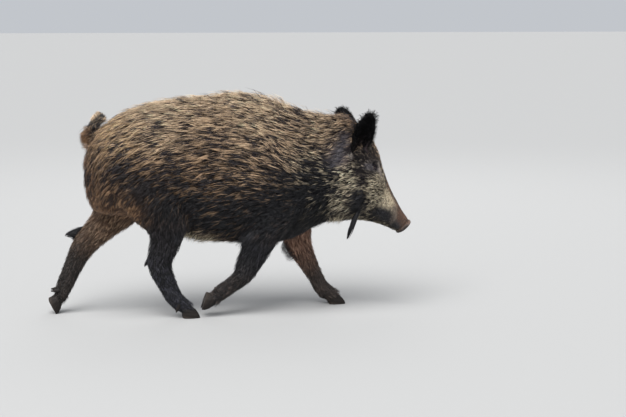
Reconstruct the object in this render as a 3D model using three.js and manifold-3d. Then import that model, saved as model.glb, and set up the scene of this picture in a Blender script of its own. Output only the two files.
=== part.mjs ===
// A life-size wild boar sow in mid-walk, head low, the right fore foot just off the ground.
// Millimetres. +X is where the animal walks, +Y is its left side and +Z is up. The origin is on the
// floor, below the middle of the box round the animal. The outlines run out to the tips of the coat.
//
// The body is one long loft from rump to nose, whose sections each span from a point on the top
// line to a point on the under line. The legs and the tail are lofts along their joints. The body
// and the legs are then parted into named pieces by thin cuts.
import * as THREE from "three";
import { mergeVertices } from "three/addons/utils/BufferGeometryUtils.js";
import Module from "manifold-3d";

const wasm = await Module();
wasm.setup();

// ---------------------------------------------------------------- driving dimensions
const GAP = 0.4; // width of every cut between two pieces
const BODY_SECTORS = 24;
const TRUNK_STEPS = 2; // rings for each stretch between two stations
const HEAD_STEPS = 3;
const HEAD_FROM = 11; // the station where the head starts
const LEG_SECTORS = 12;
const LEG_STEPS = 2;
const TAIL_SECTORS = 8;

// Stations of the body, from the rump to the nose. top and bottom are [x, z] on the outline,
// halfWidth is the greatest half width, widest its height as a share of the way up from bottom to
// top, crest and keel the roundness of the upper and lower half (2 is an ellipse, less is peaked).
const BODY = [
  { top: [-466, 585], bottom: [-486, 520], halfWidth: 20, widest: 0.5, crest: 2.0, keel: 2.0 }, // tail root
  { top: [-440, 612], bottom: [-487, 440], halfWidth: 64, widest: 0.5, crest: 2.0, keel: 2.0 }, // buttocks
  { top: [-395, 650], bottom: [-462, 352], halfWidth: 104, widest: 0.46, crest: 1.9, keel: 2.0 }, // croup
  { top: [-320, 688], bottom: [-385, 336], halfWidth: 125, widest: 0.47, crest: 1.85, keel: 2.1 }, // hips
  { top: [-225, 712], bottom: [-262, 314], halfWidth: 131, widest: 0.45, crest: 1.8, keel: 2.2 }, // loin
  { top: [-110, 721], bottom: [-124, 250], halfWidth: 138, widest: 0.43, crest: 1.75, keel: 2.2 }, // belly
  { top: [5, 736], bottom: [0, 236], halfWidth: 143, widest: 0.43, crest: 1.7, keel: 2.1 }, // ribs
  { top: [108, 723], bottom: [102, 228], halfWidth: 143, widest: 0.45, crest: 1.7, keel: 2.0 }, // withers
  { top: [195, 690], bottom: [190, 242], halfWidth: 134, widest: 0.46, crest: 1.7, keel: 1.9 }, // shoulders
  { top: [272, 667], bottom: [262, 278], halfWidth: 120, widest: 0.45, crest: 1.8, keel: 1.9 }, // neck root
  { top: [345, 658], bottom: [318, 297], halfWidth: 110, widest: 0.42, crest: 1.95, keel: 1.9 }, // neck
  { top: [410, 638], bottom: [362, 299], halfWidth: 102, widest: 0.36, crest: 2.1, keel: 1.9 }, // poll
  { top: [456, 590], bottom: [402, 297], halfWidth: 92, widest: 0.36, crest: 2.3, keel: 1.9 }, // ears
  { top: [484, 538], bottom: [438, 295], halfWidth: 77, widest: 0.42, crest: 2.4, keel: 1.9 }, // brow
  { top: [503, 474], bottom: [470, 288], halfWidth: 61, widest: 0.5, crest: 2.4, keel: 2.0 }, // eyes
  { top: [527, 412], bottom: [496, 279], halfWidth: 47, widest: 0.55, crest: 2.3, keel: 2.0 }, // cheek's end
  { top: [552, 364], bottom: [520, 270], halfWidth: 38, widest: 0.55, crest: 2.3, keel: 2.1 }, // muzzle
  { top: [574, 326], bottom: [539, 261], halfWidth: 31, widest: 0.52, crest: 2.3, keel: 2.2 }, // snout
  { top: [602, 288], bottom: [559, 250], halfWidth: 33, widest: 0.5, crest: 2.2, keel: 2.2 }, // nose
];

// Muscles and hollows, on both sides alike: where, how far they reach and how far they push.
const BULGES = [
  { at: [150, 120, 470], reach: 100, push: 8 }, // shoulder blade
  { at: [-375, 105, 470], reach: 95, push: 10 }, // haunch
  { at: [-215, 140, 500], reach: 70, push: -6 }, // hollow of the flank
  { at: [405, 92, 385], reach: 52, push: 12 }, // jowl ruff
  { at: [478, 62, 506], reach: 22, push: 7 }, // brow ridge
  { at: [474, 60, 478], reach: 16, push: -7 }, // eye socket
  { at: [492, 52, 425], reach: 26, push: 5 }, // cheekbone
  { at: [330, 112, 500], reach: 60, push: -7 }, // behind the ear
];

// Front-to-back depth and side-to-side width of a leg at each of its joints.
const FORE_GIRTHS = {
  shoulder: [175, 84],
  upperArm: [165, 88],
  elbow: [128, 82],
  forearm: [92, 66],
  carpus: [66, 54],
  cannon: [54, 44],
  fetlock: [56, 50],
  pastern: [48, 54],
};
const HIND_GIRTHS = {
  hip: [190, 84],
  thigh: [205, 92],
  stifle: [165, 88],
  shank: [104, 68],
  hock: [84, 54],
  cannon: [66, 46],
  fetlock: [58, 50],
  pastern: [50, 54],
};

// Joint centres [x, y, z] of each leg, y being the distance out from the middle of the body, and
// the foot: its coronet centre and pitch, the degrees by which the sole is turned from flat.
const LEGS = {
  right_fore: {
    girths: FORE_GIRTHS,
    side: -1,
    joints: {
      shoulder: [165, 92, 455],
      upperArm: [135, 94, 370],
      elbow: [85, 84, 285],
      forearm: [55, 77, 205],
      carpus: [20, 74, 135],
      cannon: [-18, 73, 104],
      fetlock: [-46, 73, 85],
      pastern: [-67, 73, 69],
    },
    foot: { coronet: [-81, 73, 51], pitch: 110 },
  },
  left_fore: {
    girths: FORE_GIRTHS,
    side: 1,
    joints: {
      shoulder: [190, 92, 470],
      upperArm: [205, 94, 385],
      elbow: [214, 84, 295],
      forearm: [228, 77, 215],
      carpus: [262, 74, 142],
      cannon: [288, 73, 95],
      fetlock: [308, 73, 56],
      pastern: [332, 73, 38],
    },
    foot: { coronet: [352, 73, 29], pitch: 0 },
  },
  right_hind: {
    girths: HIND_GIRTHS,
    side: -1,
    joints: {
      hip: [-345, 84, 510],
      thigh: [-300, 92, 430],
      stifle: [-238, 90, 340],
      shank: [-232, 80, 262],
      hock: [-256, 74, 186],
      cannon: [-234, 73, 120],
      fetlock: [-206, 73, 64],
      pastern: [-180, 73, 42],
    },
    foot: { coronet: [-162, 73, 29], pitch: 0 },
  },
  left_hind: {
    girths: HIND_GIRTHS,
    side: 1,
    joints: {
      hip: [-340, 84, 505],
      thigh: [-346, 92, 432],
      stifle: [-372, 90, 358],
      shank: [-430, 80, 290],
      hock: [-492, 75, 228],
      cannon: [-528, 73, 162],
      fetlock: [-557, 73, 100],
      pastern: [-569, 73, 70],
    },
    foot: { coronet: [-580, 73, 43], pitch: 64 },
  },
};

const HOOF = { length: 58, width: 26, height: 32, apart: 30 }; // one main claw, and the distance between two
const CORONET = { depth: 36, width: 50 }; // where the leg ends in the hooves
const DEWCLAW = { length: 24, width: 14, apart: 38, back: 33, rise: 14 };

const EYE = { at: [466, 61, 484], radius: 12 };
const EAR = {
  root: [400, 73, 550],
  length: 152,
  width: 112,
  thickness: 6,
  cup: 26,
  lean: { right: 0.3, left: -0.16 }, // forward
  turn: { right: 51.5, left: 30 }, // how far the opening turns out from straight ahead
};
const NOSTRIL = { apart: 24, width: 11, height: 15, depth: 9, rise: 2 };
const TAIL = [
  { at: [-436, 0, 566], radius: 20 },
  { at: [-465, 0, 592], radius: 17 },
  { at: [-460, 4, 622], radius: 15 },
  { at: [-440, 12, 643], radius: 14 },
  { at: [-427, 32, 656], radius: 11 },
  { at: [-430, 56, 656], radius: 6 },
];

// Where the long loft is parted: a point [x, z] on each cut and the cut's lean from upright.
const CUTS = {
  barrel: { at: [-190, 470], lean: 0 },
  forequarters: { at: [60, 470], lean: 0 },
  neck: { at: [262, 470], lean: 4 },
  head: { at: [372, 460], lean: 12 },
  nose: { at: [573, 277], lean: 50 },
};

// ---------------------------------------------------------------- solids
const degrees = THREE.MathUtils.degToRad;

/** A three.js geometry as a manifold-3d solid, its shared vertices merged. */
function solid(geometry) {
  const bare = geometry.index ? geometry.toNonIndexed() : geometry.clone();
  for (const name of Object.keys(bare.attributes)) {
    if (name !== "position") bare.deleteAttribute(name);
  }
  const merged = mergeVertices(bare, 1e-4);
  return new wasm.Manifold(
    new wasm.Mesh({
      numProp: 3,
      vertProperties: merged.attributes.position.array,
      triVerts: new Uint32Array(merged.index.array),
    }),
  );
}

/** A manifold-3d solid as a three.js geometry. */
function geometryOf(shape) {
  const mesh = shape.getMesh();
  const geometry = new THREE.BufferGeometry();
  geometry.setAttribute("position", new THREE.BufferAttribute(mesh.vertProperties, 3));
  geometry.setIndex(new THREE.BufferAttribute(mesh.triVerts, 1));
  geometry.computeVertexNormals();
  return geometry;
}

/** A closed skin over rings of equally many points, each end closed by a fan to its middle. */
function skinOver(rings) {
  const around = rings[0].length;
  const points = rings.flat();
  const faces = [];
  for (let r = 0; r + 1 < rings.length; r++) {
    for (let k = 0; k < around; k++) {
      const a = r * around + k;
      const b = r * around + ((k + 1) % around);
      faces.push(a, b, b + around, a, b + around, a + around);
    }
  }
  for (const [ring, first, flip] of [
    [rings[0], 0, true],
    [rings.at(-1), (rings.length - 1) * around, false],
  ]) {
    const middle = points.length;
    points.push(ring.reduce((sum, p) => sum.add(p), new THREE.Vector3()).divideScalar(around));
    for (let k = 0; k < around; k++) {
      const a = first + k;
      const b = first + ((k + 1) % around);
      faces.push(...(flip ? [b, a, middle] : [a, b, middle]));
    }
  }
  const geometry = new THREE.BufferGeometry().setFromPoints(points);
  geometry.setIndex(faces);
  const made = solid(geometry);
  return made.volume() < 0 ? solid(turnedOver(geometry)) : made;
}

/** The same geometry with every face turned over. */
function turnedOver(geometry) {
  geometry.setIndex([...geometry.index.array].reverse());
  return geometry;
}

/** A smooth curve through 3-vectors, as a function of 0 to 1, evenly by point number. */
function through(points) {
  const curve = new THREE.CatmullRomCurve3(points, false, "catmullrom", 0.5);
  return (t) => curve.getPoint(t);
}

/** The unit direction of a curve at t. */
function headingOf(curve, t) {
  return curve(Math.min(1, t + 0.02))
    .sub(curve(Math.max(0, t - 0.02)))
    .normalize();
}

/** How far a grown loft's ring moves along it: outwards at both of its ends. */
function endGrowth(i, count, margin) {
  if (i === 0) return -margin;
  return i === count ? margin : 0;
}

/** A point of a rounded section: sideways and upwards, each with its own half size. */
function roundedPoint(angle, halfWidth, up, down, crest, keel) {
  const across = Math.cos(angle);
  const rise = Math.sin(angle);
  const power = 2 / (rise > 0 ? crest : keel);
  return [
    halfWidth * Math.sign(across) * Math.abs(across) ** power,
    (rise > 0 ? up : down) * Math.sign(rise) * Math.abs(rise) ** power,
  ];
}

/** The half space that a plane's normal points into, as a box far larger than the animal. */
function halfSpace(point, normal) {
  const size = 4000;
  const box = new THREE.BoxGeometry(size, size, size).translate(0, 0, size / 2);
  const turn = new THREE.Quaternion().setFromUnitVectors(new THREE.Vector3(0, 0, 1), normal);
  box.applyQuaternion(turn).translate(point.x, point.y, point.z);
  return solid(box);
}

/** Parts a solid at a plane: [what the normal points to, the rest], a gap apart. */
function parted(shape, point, normal) {
  const step = normal.clone().multiplyScalar(GAP / 2);
  const ahead = shape.intersect(halfSpace(point.clone().add(step), normal));
  const behind = shape.intersect(halfSpace(point.clone().sub(step), normal.clone().negate()));
  return [ahead, behind];
}

/** A cut of the long loft as a point and a normal that points to the nose. */
function planeOf({ at: [x, z], lean }) {
  const angle = degrees(lean);
  return [new THREE.Vector3(x, 0, z), new THREE.Vector3(Math.cos(angle), 0, -Math.sin(angle))];
}

// ---------------------------------------------------------------- body
/** How far the muscles and hollows push a point outwards. */
function bulgeAt(point) {
  let push = 0;
  for (const { at, reach, push: height } of BULGES) {
    const away = Math.hypot(point.x - at[0], Math.abs(point.y) - at[1], point.z - at[2]) / reach;
    push += height * Math.exp(-away * away);
  }
  return push;
}

/** The whole body from rump to nose, grown by a margin on every side. */
function bodyLoft(margin = 0) {
  const top = through(BODY.map((s) => new THREE.Vector3(s.top[0], 0, s.top[1])));
  const bottom = through(BODY.map((s) => new THREE.Vector3(s.bottom[0], 0, s.bottom[1])));
  const width = through(BODY.map((s) => new THREE.Vector3(s.halfWidth, s.widest, 0)));
  const round = through(BODY.map((s) => new THREE.Vector3(s.crest, s.keel, 0)));
  const rings = [];
  const stretches = BODY.length - 1;
  const places = [];
  for (let s = 0; s < stretches; s++) {
    const steps = s < HEAD_FROM ? TRUNK_STEPS : HEAD_STEPS;
    for (let k = 0; k < steps; k++) places.push((s + k / steps) / stretches);
  }
  places.push(1);
  for (const t of places) {
    const high = top(t);
    const low = bottom(t);
    const { x: halfWidth, y: widest } = width(t);
    const { x: crest, y: keel } = round(t);
    const axis = high.clone().sub(low);
    const height = axis.length();
    axis.normalize();
    const centre = low.clone().addScaledVector(axis, height * widest);
    const ring = [];
    for (let k = 0; k < BODY_SECTORS; k++) {
      const angle = (2 * Math.PI * k) / BODY_SECTORS;
      const [y, u] = roundedPoint(angle, halfWidth, height * (1 - widest), height * widest, crest, keel);
      const out = new THREE.Vector3(0, y, 0).addScaledVector(axis, u);
      const point = centre.clone().add(out);
      out.setLength(bulgeAt(point) + margin);
      ring.push(point.add(out));
    }
    rings.push(ring);
  }
  return skinOver(rings);
}

// ---------------------------------------------------------------- legs
/** A leg from its first joint to the coronet, grown by a margin. */
function legLoft({ joints, girths, side, foot }, margin = 0) {
  const names = Object.keys(joints);
  const marks = names.map((n) => new THREE.Vector3(joints[n][0], side * joints[n][1], joints[n][2]));
  const sizes = names.map((n) => new THREE.Vector3(girths[n][0], girths[n][1], 0));
  marks.push(new THREE.Vector3(-1, 0, -1).applyMatrix4(footPlace({ side, foot })));
  sizes.push(new THREE.Vector3(CORONET.depth, CORONET.width, 0));
  const centre = through(marks);
  const girth = through(sizes);
  const rings = [];
  const count = (marks.length - 1) * LEG_STEPS;
  for (let i = 0; i <= count; i++) {
    const t = i / count;
    const ahead = headingOf(centre, t);
    const forward = new THREE.Vector3(-ahead.z, 0, ahead.x).normalize();
    const { x: depth, y: width } = girth(t);
    const middle = centre(t).addScaledVector(ahead, endGrowth(i, count, margin));
    const ring = [];
    for (let k = 0; k < LEG_SECTORS; k++) {
      const angle = (2 * Math.PI * k) / LEG_SECTORS;
      const point = middle.clone().addScaledVector(forward, (depth / 2 + margin) * Math.cos(angle));
      point.y += (width / 2 + margin) * Math.sin(angle);
      ring.push(point);
    }
    rings.push(ring);
  }
  return skinOver(rings);
}

/** The cut across a leg's carpus or hock, its normal towards the foot. */
function kneeOf({ joints, side }) {
  const names = Object.keys(joints);
  const knee = joints.carpus ? "carpus" : "hock";
  const [before, at, after] = [-1, 0, 1].map((step) => {
    const [x, y, z] = joints[names[names.indexOf(knee) + step]];
    return new THREE.Vector3(x, side * y, z);
  });
  return [at, after.sub(before).normalize()];
}

// ---------------------------------------------------------------- feet
/** One main claw, its sole at z 0 and its toe towards +X, before it is placed. */
function hoofRings(margin) {
  // Height, middle and half length of each ring as shares of the claw, and its half width.
  const levels = [
    { z: 0, x: 0, half: 0.5, wide: 0.5 },
    { z: 0.35, x: -0.03, half: 0.48, wide: 0.52 },
    { z: 0.75, x: -0.12, half: 0.4, wide: 0.5 },
    { z: 1, x: -0.2, half: 0.3, wide: 0.4 },
  ];
  const sides = 10;
  return levels.map(({ z, x, half, wide }, level) => {
    const ring = [];
    const rise = level === 0 ? -margin : level === levels.length - 1 ? margin : 0;
    for (let k = 0; k < sides; k++) {
      const angle = (2 * Math.PI * k) / sides;
      const taper = 1 - 0.3 * Math.cos(angle); // narrower at the toe than at the heel
      ring.push(
        new THREE.Vector3(
          HOOF.length * x + (HOOF.length * half + margin) * Math.cos(angle),
          (HOOF.width * wide * taper + margin) * Math.sin(angle),
          HOOF.height * z + rise,
        ),
      );
    }
    return ring;
  });
}

/** One dewclaw, its tip towards -Z and its root at the origin, before it is placed. */
function dewclawRings(margin) {
  const levels = [
    { z: 0.25, radius: 0.36 },
    { z: 0, radius: 0.5 },
    { z: -0.5, radius: 0.42 },
    { z: -1, radius: 0.16 },
  ];
  const sides = 6;
  return levels.map(({ z, radius }) => {
    const ring = [];
    for (let k = 0; k < sides; k++) {
      const angle = (2 * Math.PI * k) / sides;
      ring.push(
        new THREE.Vector3(
          (DEWCLAW.width * radius + margin) * Math.cos(angle),
          (DEWCLAW.width * radius + margin) * Math.sin(angle),
          DEWCLAW.length * z + Math.sign(z) * margin,
        ),
      );
    }
    return ring;
  });
}

/** The matrix that takes a foot's own frame, sole flat and middle at the coronet, to its leg. */
function footPlace({ side, foot: { coronet, pitch } }) {
  const [x, y, z] = coronet;
  return new THREE.Matrix4()
    .makeTranslation(x, side * y, z)
    .multiply(new THREE.Matrix4().makeRotationY(degrees(pitch)));
}

function placed(rings, ...matrices) {
  return skinOver(rings.map((ring) => ring.map((p) => matrices.reduceRight((q, m) => q.applyMatrix4(m), p.clone()))));
}

/** The claws of a foot by name, grown by a margin. */
function claws(leg, margin = 0) {
  const place = footPlace(leg);
  const found = {};
  for (const [name, sign] of [
    ["outer", leg.side],
    ["inner", -leg.side],
  ]) {
    const splay = new THREE.Matrix4().makeRotationZ(degrees(4 * sign));
    const drop = new THREE.Matrix4().makeTranslation(0.14 * HOOF.length, (sign * HOOF.apart) / 2, -HOOF.height * 0.92);
    found["hoof_" + name] = placed(hoofRings(margin), place, drop, splay);
    const lean = new THREE.Matrix4().makeRotationY(degrees(24));
    const behind = new THREE.Matrix4().makeTranslation(-DEWCLAW.back, (sign * DEWCLAW.apart) / 2, DEWCLAW.rise);
    found["dewclaw_" + name] = placed(dewclawRings(margin), place, behind, lean);
  }
  return found;
}

// ---------------------------------------------------------------- head pieces, tail
/** An ear as a cupped leaf that opens outwards and forwards. side is -1 on the right. */
function earLoft(side, lean, turn) {
  const along = new THREE.Vector3(lean, side * 0.3, 0.92).normalize();
  const back = new THREE.Vector3(-Math.cos(degrees(turn)), -side * Math.sin(degrees(turn)), 0);
  back.addScaledVector(along, -back.dot(along)).normalize(); // the convex side
  const across = along.clone().cross(back);
  const root = new THREE.Vector3(EAR.root[0], side * EAR.root[1], EAR.root[2]);
  const columns = 6;
  const rows = 7;
  const rings = [];
  for (let i = 0; i <= rows; i++) {
    const t = i / rows;
    const swell = 0.42 + 0.58 * Math.sin(Math.PI * (0.1 + 0.72 * t)); // broadest above its middle
    const halfWidth = (EAR.width / 2) * swell * Math.sqrt(1 - 0.96 * t ** 5);
    const cup = EAR.cup * (1.2 - 0.8 * t) * (halfWidth / (EAR.width / 2));
    const spine = root.clone().addScaledVector(along, EAR.length * (t - 0.13));
    spine.addScaledVector(back, 10 * Math.sin(Math.PI * t));
    const thickness = EAR.thickness * (1 - 0.5 * t);
    const outer = [];
    const inner = [];
    for (let k = 0; k <= columns; k++) {
      const a = (2 * k) / columns - 1;
      const point = spine.clone().addScaledVector(across, halfWidth * a);
      point.addScaledVector(back, -cup * a * a);
      outer.push(point);
      inner.unshift(point.clone().addScaledVector(back, -thickness * (1 - 0.7 * a * a)));
    }
    rings.push([...outer, ...inner]);
  }
  return skinOver(rings);
}

/** A nostril's pit, sunk into the face of the nose. */
function nostril(side) {
  const last = BODY.at(-1);
  const across = new THREE.Vector3(last.top[0] - last.bottom[0], 0, last.top[1] - last.bottom[1]).normalize();
  const pit = new THREE.SphereGeometry(1, 8, 6).scale(NOSTRIL.depth, NOSTRIL.width / 2, NOSTRIL.height / 2);
  pit.rotateY(Math.PI / 2 - Math.atan2(across.z, across.x));
  const [x, z] = [(last.top[0] + last.bottom[0]) / 2, (last.top[1] + last.bottom[1]) / 2];
  pit.translate(x + across.x * NOSTRIL.rise, (side * NOSTRIL.apart) / 2, z + across.z * NOSTRIL.rise);
  return solid(pit);
}

function eyeball(side, margin = 0) {
  const ball = new THREE.SphereGeometry(EYE.radius + margin, 10, 7);
  return solid(ball.translate(EYE.at[0], side * EYE.at[1], EYE.at[2]));
}

function tailLoft(margin = 0) {
  const centre = through(TAIL.map(({ at }) => new THREE.Vector3(...at)));
  const radius = through(TAIL.map((s) => new THREE.Vector3(s.radius, 0, 0)));
  const count = (TAIL.length - 1) * 2;
  const rings = [];
  for (let i = 0; i <= count; i++) {
    const t = i / count;
    const ahead = headingOf(centre, t);
    const side = new THREE.Vector3(0, 1, 0).cross(ahead).normalize();
    const rise = ahead.clone().cross(side);
    const middle = centre(t).addScaledVector(ahead, endGrowth(i, count, margin));
    const ring = [];
    for (let k = 0; k < TAIL_SECTORS; k++) {
      const angle = (2 * Math.PI * k) / TAIL_SECTORS;
      const size = radius(t).x + margin;
      ring.push(
        middle
          .clone()
          .addScaledVector(side, size * Math.cos(angle))
          .addScaledVector(rise, size * Math.sin(angle)),
      );
    }
    rings.push(ring);
  }
  return skinOver(rings);
}

// ---------------------------------------------------------------- materials
const finish = (color, roughness) => new THREE.MeshStandardMaterial({ color, roughness, metalness: 0 });
const FINISHES = {
  coat: finish(0x6a5a4c, 0.85),
  darkCoat: finish(0x2f2b2c, 0.85),
  nose: finish(0x4a4240, 0.55),
  horn: finish(0x45413e, 0.5),
  eye: finish(0x120c0a, 0.1),
};

// ---------------------------------------------------------------- assembly
const floor = halfSpace(new THREE.Vector3(0, 0, 0), new THREE.Vector3(0, 0, 1));
const boar = new THREE.Group();

function add(name, shape, material) {
  const mesh = new THREE.Mesh(geometryOf(shape), material);
  mesh.name = name;
  boar.add(mesh);
}

let body = bodyLoft();
const grownBody = bodyLoft(GAP);

// The legs and the tail are whole, and the body gives way to them.
for (const [name, leg] of Object.entries(LEGS)) {
  body = body.subtract(legLoft(leg, GAP));
  const horns = claws(leg);
  let flesh = legLoft(leg).intersect(floor);
  for (const grown of Object.values(claws(leg, GAP))) flesh = flesh.subtract(grown);
  const [lower, upper] = parted(flesh, ...kneeOf(leg));
  add(name + "_upper_leg", upper, FINISHES.darkCoat);
  add(name + "_lower_leg", lower, FINISHES.darkCoat);
  for (const [claw, shape] of Object.entries(horns)) {
    add(name + "_" + claw, shape.intersect(floor), FINISHES.horn);
  }
}
body = body.subtract(tailLoft(GAP));
add("tail", tailLoft(), FINISHES.coat);

for (const [name, side] of [
  ["right", -1],
  ["left", 1],
]) {
  body = body.subtract(eyeball(side, GAP));
  add("eye_" + name, eyeball(side), FINISHES.eye);
  add("ear_" + name, earLoft(side, EAR.lean[name], EAR.turn[name]).subtract(grownBody), FINISHES.darkCoat);
}

for (const [cut, behind, material] of [
  [CUTS.barrel, "hindquarters", FINISHES.coat],
  [CUTS.forequarters, "barrel", FINISHES.coat],
  [CUTS.neck, "forequarters", FINISHES.coat],
  [CUTS.head, "neck", FINISHES.coat],
  [CUTS.nose, "head", FINISHES.coat],
]) {
  const [ahead, piece] = parted(body, ...planeOf(cut));
  add(behind, piece, material);
  body = ahead;
}
add("nose_disc", body.subtract(nostril(-1)).subtract(nostril(1)), FINISHES.nose);

// The floor is at z 0 already, so the animal is only centred over the origin.
const middle = new THREE.Box3().setFromObject(boar).getCenter(new THREE.Vector3());
boar.position.set(-middle.x, -middle.y, 0);

export default boar;
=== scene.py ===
"""A life-size wild boar in mid-walk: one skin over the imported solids, its coat of tufts, eyes and hooves.

Metres, +X forward, +Y the animal's left, +Z up. Every shape is placed from the frame's nodes.
Places and lengths in the tables are millimetres, in the solids' own frame before it was centred.
"""

import math
from contextlib import contextmanager

import bmesh
import bpy
import numpy as np
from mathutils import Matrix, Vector, kdtree
from mathutils.bvhtree import BVHTree


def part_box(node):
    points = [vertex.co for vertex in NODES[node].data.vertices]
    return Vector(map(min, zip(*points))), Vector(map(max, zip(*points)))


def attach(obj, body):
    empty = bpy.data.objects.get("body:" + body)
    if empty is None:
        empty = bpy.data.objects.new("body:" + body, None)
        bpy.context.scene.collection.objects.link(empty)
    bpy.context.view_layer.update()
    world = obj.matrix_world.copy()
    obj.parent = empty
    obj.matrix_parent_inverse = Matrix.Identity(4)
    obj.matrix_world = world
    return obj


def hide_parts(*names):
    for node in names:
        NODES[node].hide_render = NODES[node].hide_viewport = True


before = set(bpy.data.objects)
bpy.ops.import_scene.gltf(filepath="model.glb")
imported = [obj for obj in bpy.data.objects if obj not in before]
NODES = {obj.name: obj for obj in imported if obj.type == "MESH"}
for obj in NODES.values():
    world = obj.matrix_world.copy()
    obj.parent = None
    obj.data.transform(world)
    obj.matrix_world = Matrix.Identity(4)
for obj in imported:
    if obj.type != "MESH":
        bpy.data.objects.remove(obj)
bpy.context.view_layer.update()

# -------- sizes
MM = 0.001
BODY_VOXEL = 0.0055
HOOF_VOXEL = 0.0016
UNWRAP_VOXEL = 0.012  # of the coarse skin that the coat's map is laid on
ROOT_SINK = 0.0012  # how far a tuft's root is below the skin
COAT_CLEAR = 0.0012  # how far the skin stays inside the solids where the hair lies flat
TAIL_DEPTH = 0.004  # the same on the tail
PATCH = 0.003  # a tuft's size on the OFBake map
CLUMP = 4  # tufts to a clump
EYE_X = 466  # the eye solids' middle in the tables' frame
EYE_RADIUS = 0.0115
LID_HALF = (0.0080, 0.0062)  # half the opening, along and up
EYE_PROUD = 0.0008  # how far the ball's front stands out of the skin

eye_low, eye_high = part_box("eye_right")
CENTRING = (eye_low.x + eye_high.x) / 2 - EYE_X * MM  # the shift that centred the solids


def x_at(x):
    """The tables' x, in metres in the frame."""
    return x * MM + CENTRING


def at(x, y, z):
    """A place in the tables' millimetres, in metres in the frame."""
    return np.array([x_at(x), y * MM, z * MM])


def line_of(marks, side=1):
    """A row of places from the tables, on the given side."""
    return np.array([at(x, side * y, z) for x, y, z in marks])


def srgb(code):
    """A hex colour as linear RGB."""
    parts = [int(code[i : i + 2], 16) / 255 for i in (1, 3, 5)]
    return np.array([c / 12.92 if c <= 0.04045 else ((c + 0.055) / 1.055) ** 2.4 for c in parts])


BUFF = srgb("#f8d9b4")
GOLD = srgb("#f3cb9b")
SAND = srgb("#dab995")
STRAW = srgb("#f2e1c0")
RUST = srgb("#946c50")
UMBER = srgb("#30282a")
SEPIA = srgb("#221c1d")
INK = srgb("#17171b")
# blue-grey for the light strands on black hair: painted sheen, the sky's glints on the dark bristles
SHEEN_SLATE = srgb("#47464c")
TAN = srgb("#b3906d")
MAUVE = srgb("#6a5d5e")
PALE = srgb("#8d8279")

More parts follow.
